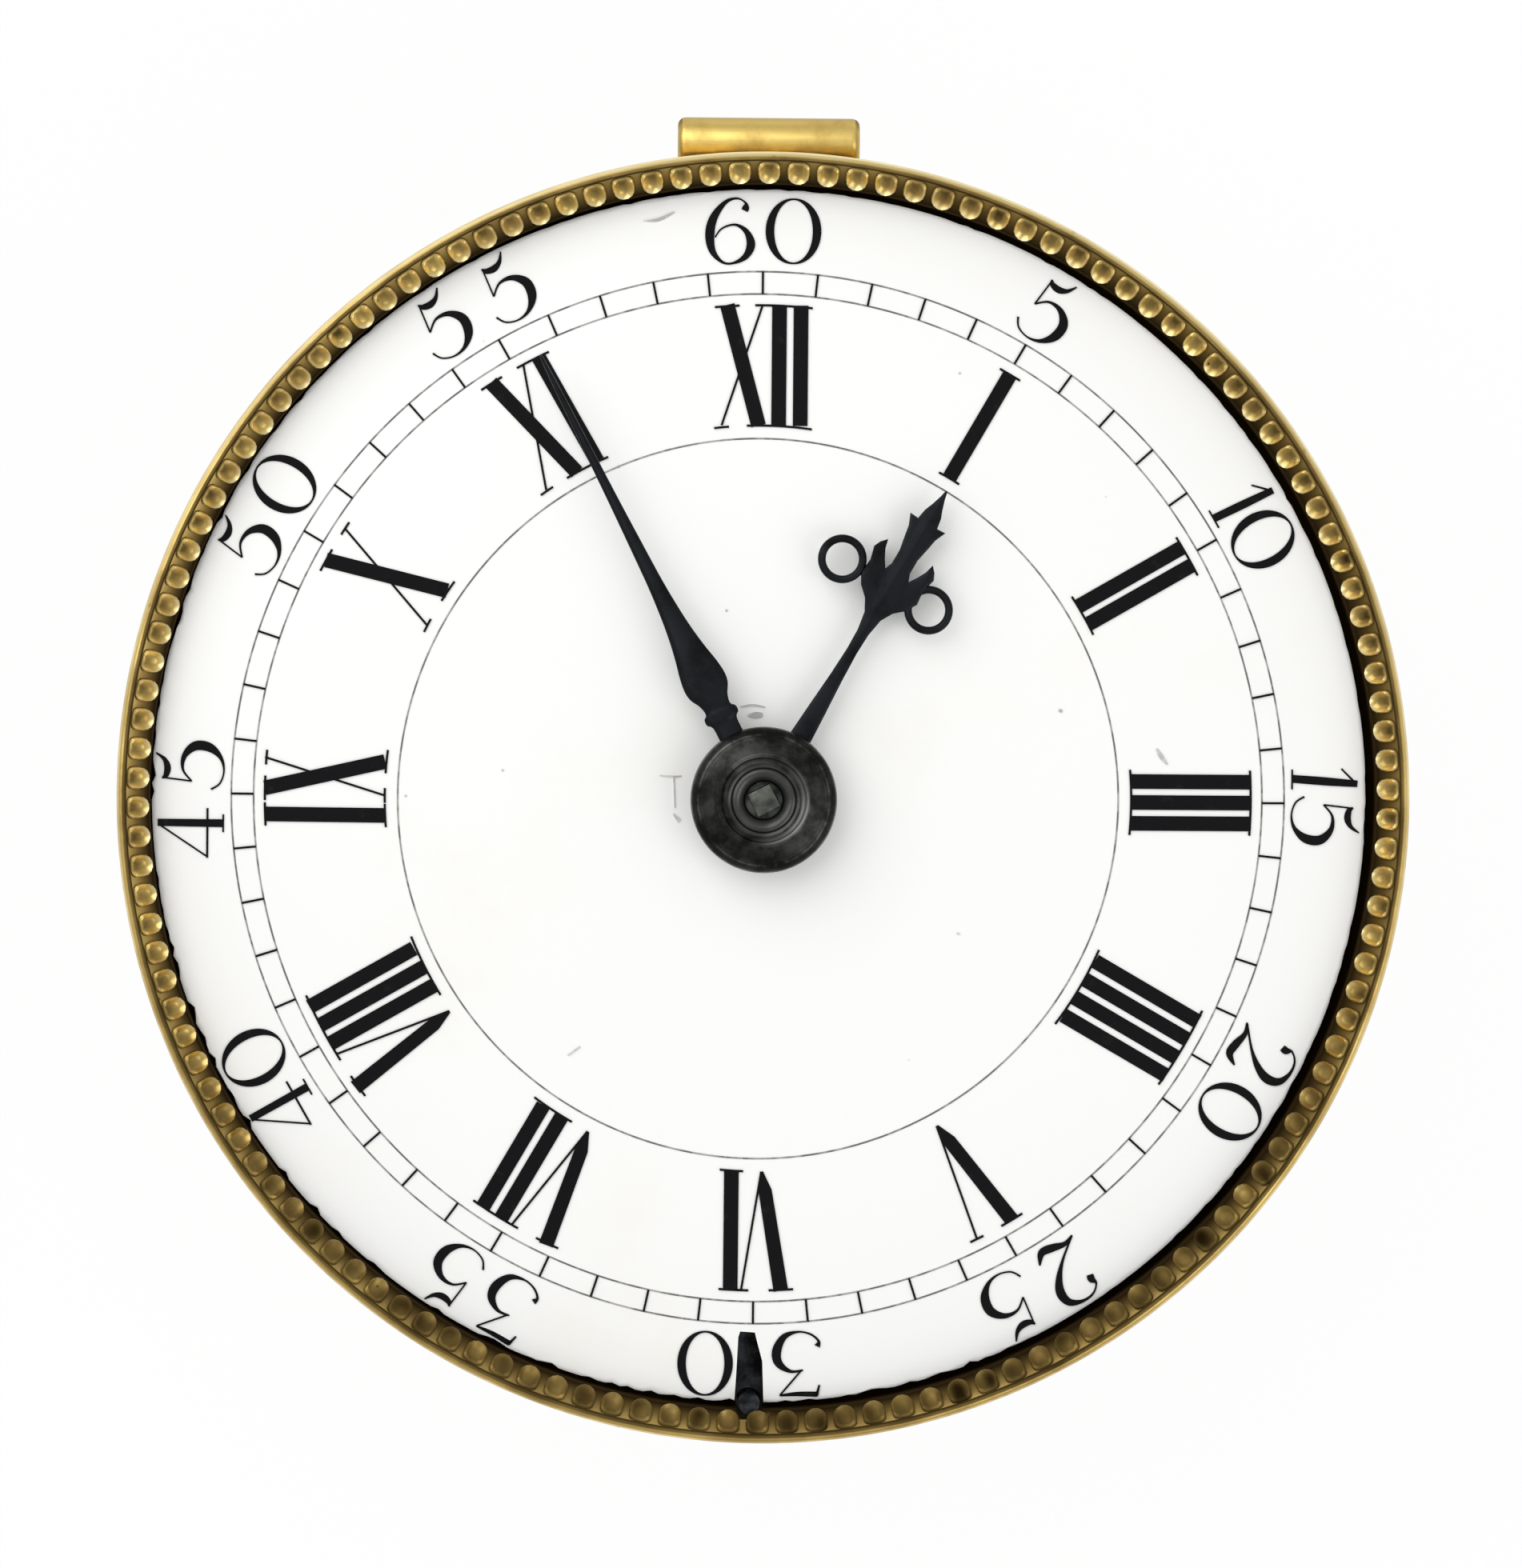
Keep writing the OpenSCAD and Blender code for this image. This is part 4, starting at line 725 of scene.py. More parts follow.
# From 12 round to 11
ROMANS = [
    [("X", -1.15, -0.1, 0.0, -1.3), ("I", 0.55), ("I", 1.25)],
    [("I", 0.05)],
    [("I", -0.33), ("I", 0.33)],
    [("I", -0.68), ("I", 0.0), ("I", 0.68)],
    [("I", -1.02), ("I", -0.34), ("I", 0.34), ("I", 1.02)],
    [("V", -0.45, 0.15, 0.85)],
    [("V", -0.9, -0.25, 0.4), ("I", 0.75)],
    [("V", -1.45, -0.75, -0.15), ("I", 0.25), ("I", 0.95)],
    [("V", -1.75, -1.1, -0.5), ("I", -0.1), ("I", 0.58), ("I", 1.27)],
    [("I", -0.65), ("X", 0.2, 1.1, 1.2, 0.0)],
    [("X", -0.45, 0.7, 0.75, -0.6)],
    [("X", -0.9, 0.1, 0.3, -1.05), ("I", 0.85)],
]

ZERO_WIDTH, ZERO_THICK, ZERO_STEPS = 1.62, 0.26, 40


def zero_stroke():
    """The ring of a 0: thick at the sides and thin at top and bottom."""
    out = []
    for i in range(ZERO_STEPS + 1):
        a = 2 * math.pi * i / ZERO_STEPS
        width = 0.05 + (ZERO_THICK - 0.05) * abs(math.cos(a)) ** 1.6
        out.append((ZERO_WIDTH / 2 + (ZERO_WIDTH / 2 - 0.1) * math.cos(a), 1.0 + 0.95 * math.sin(a), width))
    return out


# Digits as strokes through (x, y, width) in mm, on a height of 2
DIGITS = {
    "0": [zero_stroke()],
    "1": [[(0.36, 0.04, 0.24), (0.43, 1.0, 0.25), (0.5, 1.98, 0.2)], [(0.05, 1.5, 0.05), (0.45, 1.9, 0.06)],
          [(0.08, 0.03, 0.05), (0.68, 0.03, 0.05)]],
    "2": [[(0.2, 1.38, 0.2), (0.22, 1.52, 0.22), (0.16, 1.7, 0.06), (0.4, 1.92, 0.06), (0.78, 1.96, 0.1),
           (1.14, 1.8, 0.22), (1.24, 1.45, 0.28), (1.08, 1.05, 0.2), (0.7, 0.6, 0.08), (0.1, 0.1, 0.05)],
          [(0.08, 0.08, 0.05), (0.4, 0.2, 0.14), (0.8, 0.12, 0.24), (1.15, 0.1, 0.22), (1.38, 0.4, 0.05)]],
    "3": [[(0.12, 1.62, 0.05), (0.2, 1.94, 0.1)], [(0.18, 1.9, 0.16), (0.8, 1.9, 0.13), (1.32, 1.95, 0.05)],
          [(1.3, 1.93, 0.05), (0.68, 1.2, 0.05)],
          [(0.62, 1.18, 0.05), (1.0, 1.22, 0.1), (1.36, 0.98, 0.24), (1.42, 0.6, 0.28), (1.2, 0.18, 0.18),
           (0.78, 0.03, 0.06), (0.4, 0.1, 0.06), (0.16, 0.3, 0.08), (0.2, 0.46, 0.18)]],
    "4": [[(1.05, 0.04, 0.24), (1.05, 1.98, 0.22)], [(1.0, 1.95, 0.05), (0.05, 0.52, 0.05)],
          [(0.0, 0.5, 0.06), (1.5, 0.5, 0.06)], [(0.78, 0.03, 0.05), (1.32, 0.03, 0.05)]],
    "5": [[(0.36, 1.84, 0.05), (0.26, 0.98, 0.05)],
          [(0.26, 0.98, 0.05), (0.6, 1.24, 0.07), (1.02, 1.2, 0.16), (1.32, 0.88, 0.28), (1.28, 0.45, 0.27),
           (0.98, 0.12, 0.12), (0.58, 0.02, 0.05), (0.2, 0.14, 0.05), (0.02, 0.4, 0.06)],
          [(0.34, 1.86, 0.05), (0.44, 1.74, 0.16), (0.68, 1.7, 0.2), (0.92, 1.8, 0.12), (1.1, 2.04, 0.04)]],
    "6": [[(1.18, 1.6, 0.2), (1.22, 1.7, 0.2), (1.2, 1.84, 0.06), (0.95, 1.96, 0.06), (0.6, 1.84, 0.12),
           (0.26, 1.4, 0.24), (0.14, 0.9, 0.28), (0.22, 0.4, 0.2), (0.52, 0.07, 0.08), (0.85, 0.04, 0.07),
           (1.22, 0.24, 0.18), (1.38, 0.6, 0.26), (1.24, 0.98, 0.16), (0.9, 1.18, 0.07), (0.5, 1.06, 0.05),
           (0.3, 0.8, 0.04)]],
}
# Sideways places of the left sides of the digits of 5, 10, 15 and so on to 60, in mm
MINUTES = [(-0.65,), (-0.95, -0.12), (-1.1, -0.22), (-1.75, 0.1), (-1.85, 0.18), (-2.15, 0.62), (-2.1, -0.12),
           (-1.95, -0.15), (-1.95, 0.1), (-1.9, 0.1), (-1.95, 0.25), (-1.75, 0.1)]
# Faint scratches and specks of the old dial, as strokes through (x, y, width) in mm
SCRATCHES = [
    [(-3.9, 18.75, 0.03), (-3.4, 18.8, 0.1), (-2.9, 19.05, 0.05)],
    [(12.95, 1.75, 0.06), (13.1, 1.5, 0.14), (13.3, 1.25, 0.05)], [(9.75, 2.98, 0.1), (9.85, 2.94, 0.1)],
    [(-3.2, 0.75, 0.03), (-2.75, 0.72, 0.05), (-2.5, 0.74, 0.03)], [(-2.75, 0.75, 0.04), (-2.7, -0.3, 0.03)],
    [(-0.6, 3.0, 0.03), (-0.2, 3.06, 0.06), (0.2, 3.0, 0.03)],
    [(-0.35, 2.72, 0.08), (-0.1, 2.74, 0.2), (0.12, 2.75, 0.12)], [(-2.75, -0.5, 0.05), (-2.55, -0.72, 0.14)],
    [(-6.1, -8.4, 0.03), (-5.7, -8.1, 0.04)], [(6.5, -4.3, 0.05), (6.6, -4.32, 0.05)]]


class MOVEMENT_OT_dial(bpy.types.Operator):
    """Make the domed enamel dial with its slot, its feet and its numerals"""
    bl_idname = "movement.dial"
    bl_label = "Dial"

    def execute(self, context):
        self.enamel()
        self.painting(context.scene.movement_dial)
        return {"FINISHED"}

    def enamel(self):
        thick, hole, rings, edge_r = 0.85, 1.8, 26, DIAL_R + 0.07
        top = [hole + (edge_r - 0.12 - hole) * i / rings for i in range(rings + 1)]
        profile = [(r, dome(r)) for r in (*top, edge_r - 0.03)]
        profile += [(edge_r + 0.01, dome(edge_r) - 0.03), (edge_r + 0.02, dome(edge_r) - 0.12),
                    (edge_r, dome(edge_r) - thick)]
        profile += [(r, dome(r) - thick) for r in reversed(top[::3])]
        obj = lathe("enamel_dial", profile, 480, DIAL_SHIFT, smooth=35)
        self.chip(obj)
        # The bolt's slot is wider at the edge of the dial
        outline = [(-0.5, -20.3), (0.5, -20.3), (0.43, -18.4), (0.24, -17.7), (0.18, -17.45), (-0.3, -17.42),
                   (-0.36, -17.6), (-0.42, -18.9)]
        cut(obj, cut_sheet("slot_cutter", [[(NIB_X + x, y) for x, y in outline]], -0.8, 3.2))
        foot_r, foot_z = 17, low("dial").z
        foot = [(0, foot_z), (0.45, foot_z), (0.5, foot_z + 0.08), (0.5, dome(foot_r) - 0.8), (0, dome(foot_r) - 0.8)]
        feet = [lathe("foot", foot, 24, polar(foot_r, angle), closed=False) for angle in (40, 160, 300)]
        stand_in(settle(join("enamel_dial", [obj, *feet]), 35), "dial", "enamel")

    def chip(self, obj):
        """Breaks the dial's edge here and there, most at the lower left."""
        worst = Vector(polar(1, 225))
        for vertex in obj.data.vertices:
            flat = Vector((vertex.co.x / MM - DIAL_SHIFT[0], vertex.co.y / MM - DIAL_SHIFT[1]))
            if flat.length > DIAL_R - 0.1:
                share = 0.25 + 0.75 * max(0.0, flat.normalized().dot(worst))
                rough = noise.noise(Vector((flat.x * 2.3, flat.y * 2.3, 0))) + 0.5 * noise.noise(
                    Vector((flat.x * 6, flat.y * 6, 4)))
                depth = 0.26 * share * max(0.0, rough - 0.05)
                vertex.co.z += (dome(flat.length - depth) - dome(flat.length)) * MM
                vertex.co.x -= depth * MM * flat.x / flat.length
                vertex.co.y -= depth * MM * flat.y / flat.length

    def painting(self, dial):
        strokes = []
        for hour, letters in enumerate(ROMANS):
            strokes += [ribbon(s, painted(30 * hour)) for s in roman_strokes(letters, dial)]
        widen = 1.08
        for k, lefts in enumerate(MINUTES, 1):
            for digit, left in zip(str(5 * k), lefts):
                for shape in DIGITS[digit]:
                    moved = [(widen * (x + left), dial.digit_foot + y * dial.digit_height / 2, widen * w)
                             for x, y, w in shape]
                    strokes.append(ribbon(moved, painted(30 * k), 61 if digit == "0" else None))
        strokes += [ribbon([(0, dial.track_inner, 0.07), (0, dial.track_outer, 0.07)], painted(6 * k))
                    for k in range(60)]
        line_work("numerals", strokes, "ink")
        flat = painted(0)
        line_work("minute_track", [
            grid("ring", 240, 1, lambda u, v: flat(*polar(radius + (v - 0.5) * 0.055, 360 * u)), wrap=True)
            for radius in (dial.track_outer, dial.track_inner, dial.chapter_inner)], "thin_ink")
        line_work("dial_scratches", [ribbon(points, flat) for points in SCRATCHES], "mark")


# The rim, hinge and bolt


class MOVEMENT_OT_rim(bpy.types.Operator):
    """Make the gilt edge ring with its rolled lip and its row of beads"""
    bl_idname = "movement.rim"
    bl_label = "Rim"

    def execute(self, context):
        self.groove = RIM_R - 0.28
        # Both ends of the slope that carries the beads
        self.upper = Vector((RIM_R - 0.32, 0, LIP_Z - 0.34))
        self.lower = Vector((RIM_R - 1.0, 0, LIP_Z - 0.9))
        self.ring()
        self.beads(context.scene.movement_rim)
        return {"FINISHED"}

    def ring(self):
        """Lip, groove, slope under the beads, the step round the dial, painted dark as shade, and the web that carries
        it.
        """
        web_in, web_z, plate_z, wall = SPIGOT_R - 3.8, EDGE_Z - 0.85, high("pillar_plate").z, self.lower.x - 0.04
        web_low = web_z - 0.8
        profile = [(web_in, web_low), (PLATE_R - 0.6, web_low), (PLATE_R - 0.6, plate_z), (PLATE_R, plate_z),
                   (PLATE_R, web_low), (SPIGOT_R, web_low), (SPIGOT_R, 0), (RIM_R - 0.06, 0), (RIM_R, 0.06)]
        # The lip, as depths in from the rim and down from its top
        profile += [(RIM_R - q, LIP_Z - d) for q, d in (
            (0, 0.3), (0.02, 0.16), (0.07, 0.05), (0.14, 0), (0.2, 0.03), (0.25, 0.11), (0.28, 0.2), (0.3, 0.33))]
        profile += [(self.upper.x, self.upper.z), (self.lower.x, self.lower.z),
                    (self.lower.x - 0.03, self.lower.z - 0.08), (wall, EDGE_Z), (wall, web_z), (web_in, web_z)]
        obj = lathe("edge_ring", profile, 256, smooth=28)
        # Slots for the bolt's nib, the hinge's tongue and the bolt's body
        for x, y, width, depth, z0, z1 in ((NIB_X, -18.85, 0.85, 2.82, -1.0, 3.0),
                                           (0, 20, high("hinge").x * 2 + 0.4, 6, -3, web_z - 0.82),
                                           (NIB_X, -20, 2.3, 6, -3, web_z - 0.82)):
            cut(obj, cut_sheet("cutter", [box_outline(x, y, width, depth)], z0, z1))
        feet = [rod("foot", 0.6, low("pillar_plate").z - 0.85, web_z - 0.75, polar(SPIGOT_R - 1.9, a), 40)
                for a in (115, 235, 355)]
        obj = settle(join("edge_ring", [obj, *feet]), 28)
        mark_hollow(obj, self.dirt)
        stand_in(obj, "dial_plate", "gilt")

    def dirt(self, x, y, z):
        """Blotchy tarnish with painted light: painted shade fills the trench round the dial's edge and darkens the
        groove and the slope between the beads, the lip is shaded more towards the bottom, and it takes painted
        highlights on its upper side and along its outer edge.
        """
        r = math.hypot(x, y)
        side, up = x / RIM_R, y / RIM_R
        uneven = 0.25 * noise.noise(Vector((x * 0.9, y * 0.9, 7)))
        if z < 0.3:
            return 0
        # Painted shade: the trench round the dial's edge is fully dark.
        if r < self.lower.x + 0.02:
            return 1
        # Painted shade with tarnish on the slope between the beads and in the groove, more on the right.
        if r < self.groove - 0.03:
            return 0.5 + 0.15 * side - 0.1 * max(0, -up)
        if r < self.groove + 0.01:
            return 0.9
        # The lip: tarnish blotches, painted shade towards the bottom, and painted highlights on its upper side and
        # along its outer edge.
        if r < RIM_R - 0.18:
            return uneven + 0.62 - 0.1 * up
        return uneven - 0.08 - 0.4 * up - 0.08 * side - (0.35 if r > RIM_R - 0.1 and z > LIP_Z - 0.2 else 0)

    def beads(self, rim):
        """A horseshoe round a hollow, closed towards the dial, copied round the slope."""
        along = self.lower - self.upper
        slope = along.normalized()
        out = Vector((slope.z, 0, -slope.x))
        centre = (self.upper + self.lower) / 2 - slope * 0.03
        half_l, half_w = along.length / 2, rim.bead_width / 2
        # Share of the bead's radius, and share of its rise
        stations = ((1.0, -0.25), (0.94, 0.7), (0.8, 1.0), (0.58, 0.35), (0.3, 0.1))
        bpy.ops.mesh.primitive_circle_add(vertices=14, radius=1, fill_type="NOTHING")
        bead = added("bead")
        with editing(bead):
            for (before, _), (after, _) in zip(stations, stations[1:]):
                bpy.ops.mesh.extrude_region_move()
                bpy.ops.transform.resize(value=(after / before, after / before, 1), center_override=(0, 0, 0))
            bpy.ops.mesh.edge_face_add()
        for v in bead.data.vertices:
            x, y = v.co.x, v.co.y
            size = math.hypot(x, y)
            rise = rim.bead_rise * min(stations, key=lambda s: abs(s[0] - size))[1]
            if x < -0.01:
                # The outer half is squared, and its wall is lower
                across = abs(y) / size
                x, y = -size * math.sqrt(-x / size), math.copysign(size * math.sqrt(across), y)
                rise *= 0.1 + 0.9 * across if rise > 0 else 1
            p = centre + slope * (x * half_l) + out * rise
            v.co = Vector((p.x, y * half_w, p.z)) * MM
        weld(bead)
        turns = [Matrix.Rotation(2 * math.pi * (i + 0.5) / rim.beads, 4, "Z") for i in range(rim.beads)]
        obj = settle(copies("rim_beads", bead, turns), 60)

        def dirt(x, y, z):
            """Painted highlights on the crests round hollows darkened by tarnish and painted shade, a little darker on
            the right, and nearly even painted shade towards 6 o'clock.
            """
            place = Vector((math.hypot(x, y), 0, z)) - centre
            rise, inwards = place.dot(out) / rim.bead_rise, place.dot(slope) / half_l
            # Painted shade grows towards 6 o'clock.
            low_share = clamp((-y / RIM_R - 0.05) / 0.6)
            uneven = 0.35 * noise.noise(Vector((x * 1.3, y * 1.3, 2)))
            return (uneven + 0.05 * x / RIM_R + (0.68 - 1.6 * rise - 0.2 * inwards) * (1 - low_share)
                    + (0.78 - 0.2 * rise) * low_share)
        mark_hollow(obj, dirt)
        finish(obj, "plates", "gilt", "gilt_brass")


class MOVEMENT_OT_hinge(bpy.types.Operator):
    """Make the hinge's knuckle and tongue, and the bolt"""
    bl_idname = "movement.hinge"
    bl_label = "Hinge and bolt"

    def execute(self, context):
        self.knuckle()
        dress("bolt", "bolt", 0.06)
        return {"FINISHED"}

    def knuckle(self):
        """A bored barrel with rounded ends, on a tongue screwed under the web."""
        half, y0 = high("hinge").x, low("hinge").y
        bore = next(m["pos_m"] for m in frame["record"]["mounts"] if m["name"] == "hinge_bore")
        axis_y = bore[1] / MM
        r = high("hinge").y - axis_y
        corner = 0.26
        arc = [polar(corner, 18 * i) for i in range(6)]
        profile = [(0.4, -half), (0.44, -half), *((r - corner + s, corner - half - c) for c, s in arc),
                   *((r - corner + c, half - corner + s) for c, s in arc), (0.44, half), (0.4, half)]
        barrel = lathe("knuckle", profile, 72)
        barrel.matrix_world = Matrix.Translation((0, *bore[1:])) @ Matrix.Rotation(math.pi / 2, 4, "Y")
        settle(barrel)
        tongue = cut_sheet("tongue", [box_outline(0, (y0 + axis_y) / 2, 2 * half - 0.04, axis_y - y0)],
                           EDGE_Z - 2.1, EDGE_Z - 1.66, 0.06)
        rivets = [rod("rivet", 0.35, EDGE_Z - 2.28, EDGE_Z - 2.05, (x, y0 + 0.7), 24) for x in (0.9 - half, half - 0.9)]
        obj = settle(join("hinge_knuckle", [barrel, tongue, *rivets]), 35)
        # Painted shade on the barrel's outer side, towards 12, and at its ends.
        mark_hollow(obj, lambda x, y, z: 0.85 * max(0, (y - axis_y) / r - 0.45) + 0.4 * (abs(x) > half - 0.12))
        stand_in(obj, "hinge", "polished")


# The hands


def lay_hand(obj, clock_angle, slope, z):
    """Turns a hand drawn along +X to its hour and drops its tip."""
    obj.matrix_world = (Matrix.Translation((0, 0, z * MM)) @ Matrix.Rotation(math.radians(90 - clock_angle), 4, "Z")
                        @ Matrix.Rotation(math.radians(slope), 4, "Y"))
    settle(obj)


class MOVEMENT_OT_hands(bpy.types.Operator):
    """Make the blued hands and the turned boss that holds them"""
    bl_idname = "movement.hands"
    bl_label = "Hands"

    def execute(self, context):
        self.hour_hand()
        self.minute_hand()
        return {"FINISHED"}

    def hour_hand(self):
        z = high("hour_wheel").z - 0.05
        half = [(1.7, 0.4), (2.4, 0.36), (3.4, 0.3), (4.6, 0.22), (5.6, 0.18), (6.3, 0.2), (6.9, 0.3), (7.3, 0.52),
                (7.6, 0.85), (7.95, 1.05), (8.45, 1.0), (8.9, 1.12), (9.12, 1.02), (9.32, 0.84), (9.0, 0.76),
                (8.7, 0.6), (8.45, 0.44), (8.7, 0.34), (9.2, 0.34), (9.7, 0.44), (10.05, 0.5), (10.42, 0.66),
                (10.4, 0.36), (10.75, 0.3), (11.0, 0.2), (11.35, 0.09), (11.62, 0.03)]
        pieces = [cut_sheet("hand", [half + [(x, -y) for x, y in reversed(half)]], 0, 0.27, 0.07)]
        for side in (-1.46, 1.79):
            bpy.ops.mesh.primitive_torus_add(major_radius=0.665 * MM, minor_radius=0.13 * MM, major_segments=40,
                                             minor_segments=10, location=(8.0 * MM, side * MM, 0.14 * MM))
            pieces.append(added("ring"))
        obj = join("beetle_hour_hand", pieces)
        lay_hand(obj, HOUR_ANGLE, 2.5, z + 0.08)
        collar = lathe("collar", [(1.42, z), (2.0, z), (2.02, z + 0.1), (1.95, z + 0.25), (1.42, z + 0.25)], 64)
        stand_in(settle(join("beetle_hour_hand", [obj, collar]), 45), "hour_hand", "hand")

    def minute_hand(self):
        boss = high("hour_wheel").z + 0.37
        widths = [(2.0, 0.42), (2.75, 0.42), (2.95, 0.56), (3.15, 0.56), (3.3, 0.44), (3.6, 0.5), (3.95, 0.68),
                  (4.3, 0.72), (4.75, 0.66), (5.3, 0.54), (6.0, 0.42), (6.8, 0.33), (7.8, 0.26), (9.0, 0.22),
                  (10.5, 0.18), (12.0, 0.15), (13.5, 0.12), (15.0, 0.09), (16.0, 0.05), (16.1, 0.02)]
        stations, sides = through(widths, 140), 14

        def skin(u, v):
            s, half = stations[round(u * (len(stations) - 1))]
            a = 2 * math.pi * v
            thick = 0.13 * min(1, 0.5 + half)
            return s, half * math.cos(a), 0.13 + thick * math.sin(a) * (1.25 if math.sin(a) > 0 else 1)
        shaft = close_ends(grid("shaft", len(stations) - 1, sides, skin, wrap=True), sides)
        lay_hand(shaft, MINUTE_ANGLE, 3, boss + 0.12)
        settle(shaft, 60)
        turned = [(0.98, 0), (2.17, 0), (2.33, 0.1), (2.37, 0.22), (2.33, 0.36), (2.2, 0.5), (1.95, 0.64), (1.7, 0.74),
                  (1.5, 0.79), (1.42, 0.83), (1.36, 0.79), (1.3, 0.85), (1.2, 0.88), (1.1, 0.86), (1.04, 0.8),
                  (0.97, 0.88), (0.86, 0.88), (0.76, 0.8), (0.66, 0.7), (0.6, 0.62), (0.6, 0.5), (0.98, 0.5)]
        knob = lathe("minute_boss", [(r, boss + rise) for r, rise in turned], 96, smooth=50)
        # A painted highlight: an arc on the collar's right side; the middle is a little lighter.
        mark_hollow(knob, lambda x, y, z: -0.75 * max(0, x / 1.4 - 0.25 * y) * (1.25 < math.hypot(x, y) < 1.45)
                    - 0.25 * (math.hypot(x, y) < 1.15))
        finish(knob, "centre", "boss", "blued_steel")
        stand_in(shaft, "minute_hand", "hand")
        shaft.name = "poker_minute_hand"


# The train and frame behind the dial


class MOVEMENT_OT_fusee(bpy.types.Operator):
    """Cut the fusee's helical groove and lay the chain of links in it"""
    bl_idname = "movement.fusee"
    bl_label = "Fusee and chain"

    # Turns of the groove, turns of chain on it, and how far the chain's middle stands off in mm
    TURNS, WOUND, OFF = 5, 2.5, 0.27

    def execute(self, context):
        self.wide_z = high("fusee").z - 0.2
        self.small_z = low("fusee").z + 0.3
        barrel = (high("barrel").x - low("barrel").x) / 2 + self.OFF
        line = Vector(BARREL) - Vector(FUSEE)
        lean = math.acos((self.radius(self.WOUND / self.TURNS) + self.OFF - barrel) / line.length)
        self.tangent = math.degrees(math.atan2(line.y, line.x) - lean)
        self.cone()
        self.chain(self.chain_path(barrel))
        return {"FINISHED"}

    def radius(self, share):
        return 2.7 + 2.3 * (1 - share) ** 1.25

    def height(self, share):
        return self.wide_z + (self.small_z - self.wide_z) * share

    def cone(self):
        """The cone with its groove, the flange under it and the cap whose nose meets the stop iron."""
        # Turns along the groove, and whether the point lies on its floor
        rows = [(-0.5 + k + p, deep) for k in range(7) for p, deep in (
            (-0.5, 0), (-0.34, 0), (-0.28, 1), (0.28, 1), (0.34, 0))] + [(6, 0)]
        rows = [(None, 0), *rows, (None, 1), (None, 0)]

        def at(u, v):
            turn_share, deep = rows[round(v * (len(rows) - 1))]
            if turn_share is None:
                share, r = deep, 0.9
            else:
                raw = (turn_share + u) / self.TURNS
                share = clamp(raw)
                r = self.radius(share) - (0.05 if not deep or share != raw else 0.2)
            x, y = polar(r, self.tangent - 360 * u)
            return FUSEE[0] + x, FUSEE[1] + y, self.height(share)
        cone = settle(grid("cone", 80, len(rows) - 1, at, wrap=True), 35)
        wide, z = self.radius(0) + 0.02, self.wide_z
        flange = lathe("flange", [(0.9, z), (wide, z), (wide + 0.02, z + 0.04), (wide + 0.02, z + 0.16),
                                  (wide, z + 0.2), (0.9, z + 0.2)], 96, FUSEE)
        nose = direction(CENTRE, FUSEE) + 22 + 360 * (self.TURNS - self.WOUND)
        outline = [polar(1.5, nose - 14), *(polar(3.5, nose - 14 + 28 * i / 8) for i in range(9)),
                   polar(1.5, nose + 14)]
        cap = join("cap", [cut_sheet("cap", [circle(2.8, 72), circle(0.9, 32)], -0.15, 0.15, 0.05),
                           cut_sheet("nose", [outline], -0.14, 0.14, 0.05)])
        cap.location = (FUSEE[0] * MM, FUSEE[1] * MM, (self.small_z - 0.15) * MM)
        settle(cap)
        stand_in(settle(join("grooved_fusee", [cone, flange, cap]), 35), "fusee", "brass")

    def chain_path(self, barrel):
        """Points along the chain: round the fusee, across, and round the barrel."""
        path, steps = [], 120
        leave = self.WOUND / self.TURNS
        for i in range(steps + 1):
            share = leave * i / steps
            x, y = polar(self.radius(share) + self.OFF, self.tangent - 360 * (self.TURNS * share - self.WOUND))
            path.append(Vector((FUSEE[0] + x, FUSEE[1] + y, self.height(share))))
        pitch = (self.small_z - self.wide_z) / self.TURNS
        for i in range(steps + 1):
            x, y = polar(barrel, self.tangent - 360 * self.WOUND * i / steps)
            path.append(Vector((BARREL[0] + x, BARREL[1] + y, self.height(leave) + pitch * self.WOUND * i / steps)))
        return path

    def chain(self, path):
        """Riveted links in turn: one plate between two, and two plates outside them."""
        pitch, end_r = 0.7, 0.165
        pins, left = [path[0]], pitch
        for a, b in zip(path, path[1:]):
            length = (b - a).length
            while left <= length:
                pins.append(a.lerp(b, left / length))
                left += pitch
            left -= length
        places = []
        for a, b in zip(pins, pins[1:]):
            along = (b - a).normalized()
            across = Vector((0, 0, 1)).cross(along).normalized()
            turned = Matrix((along, across, along.cross(across))).transposed().to_4x4()
            places.append(Matrix.Translation((a + b) / 2 * MM) @ turned)
        half = [(pitch / 2 + x, y) for x, y in (polar(end_r, a) for a in (-105, -55, 0, 55, 105))]
        outline = [*half, (0, 0.1), *((-x, -y) for x, y in half), (0, -0.1)]
        outer = [cut_sheet("plate", [outline], z - 0.05, z + 0.05) for z in (-0.14, 0.14)]
        for side in (-1, 1):
            bpy.ops.mesh.primitive_cylinder_add(vertices=6, radius=0.07 * MM, depth=0.38 * MM,
                                                location=(side * pitch / 2 * MM, 0, 0))
            outer.append(added("pin"))
        outer = settle(join("outer_link", outer))
        inner = cut_sheet("inner_link", [outline], -0.085, 0.085)
        links = [copies("links", outer, places[::2]), copies("links", inner, places[1::2])]
        stand_in(settle(join("fusee_chain_links", links), 30), "fusee_chain", "chain")


# The back


def volute(s, t, r0, r1, start, sweep, w0, w1, steps=16):
    """Points of a scroll about (s, t): from radius r0 in to r1 while it turns by sweep degrees."""
    out = []
    for i in range(steps + 1):
        share = i / steps
        ds, dt = polar(r0 + (r1 - r0) * share ** 0.8, start + sweep * share)
        out.append((s + ds, t + dt, w0 + (w1 - w0) * share))
    return out


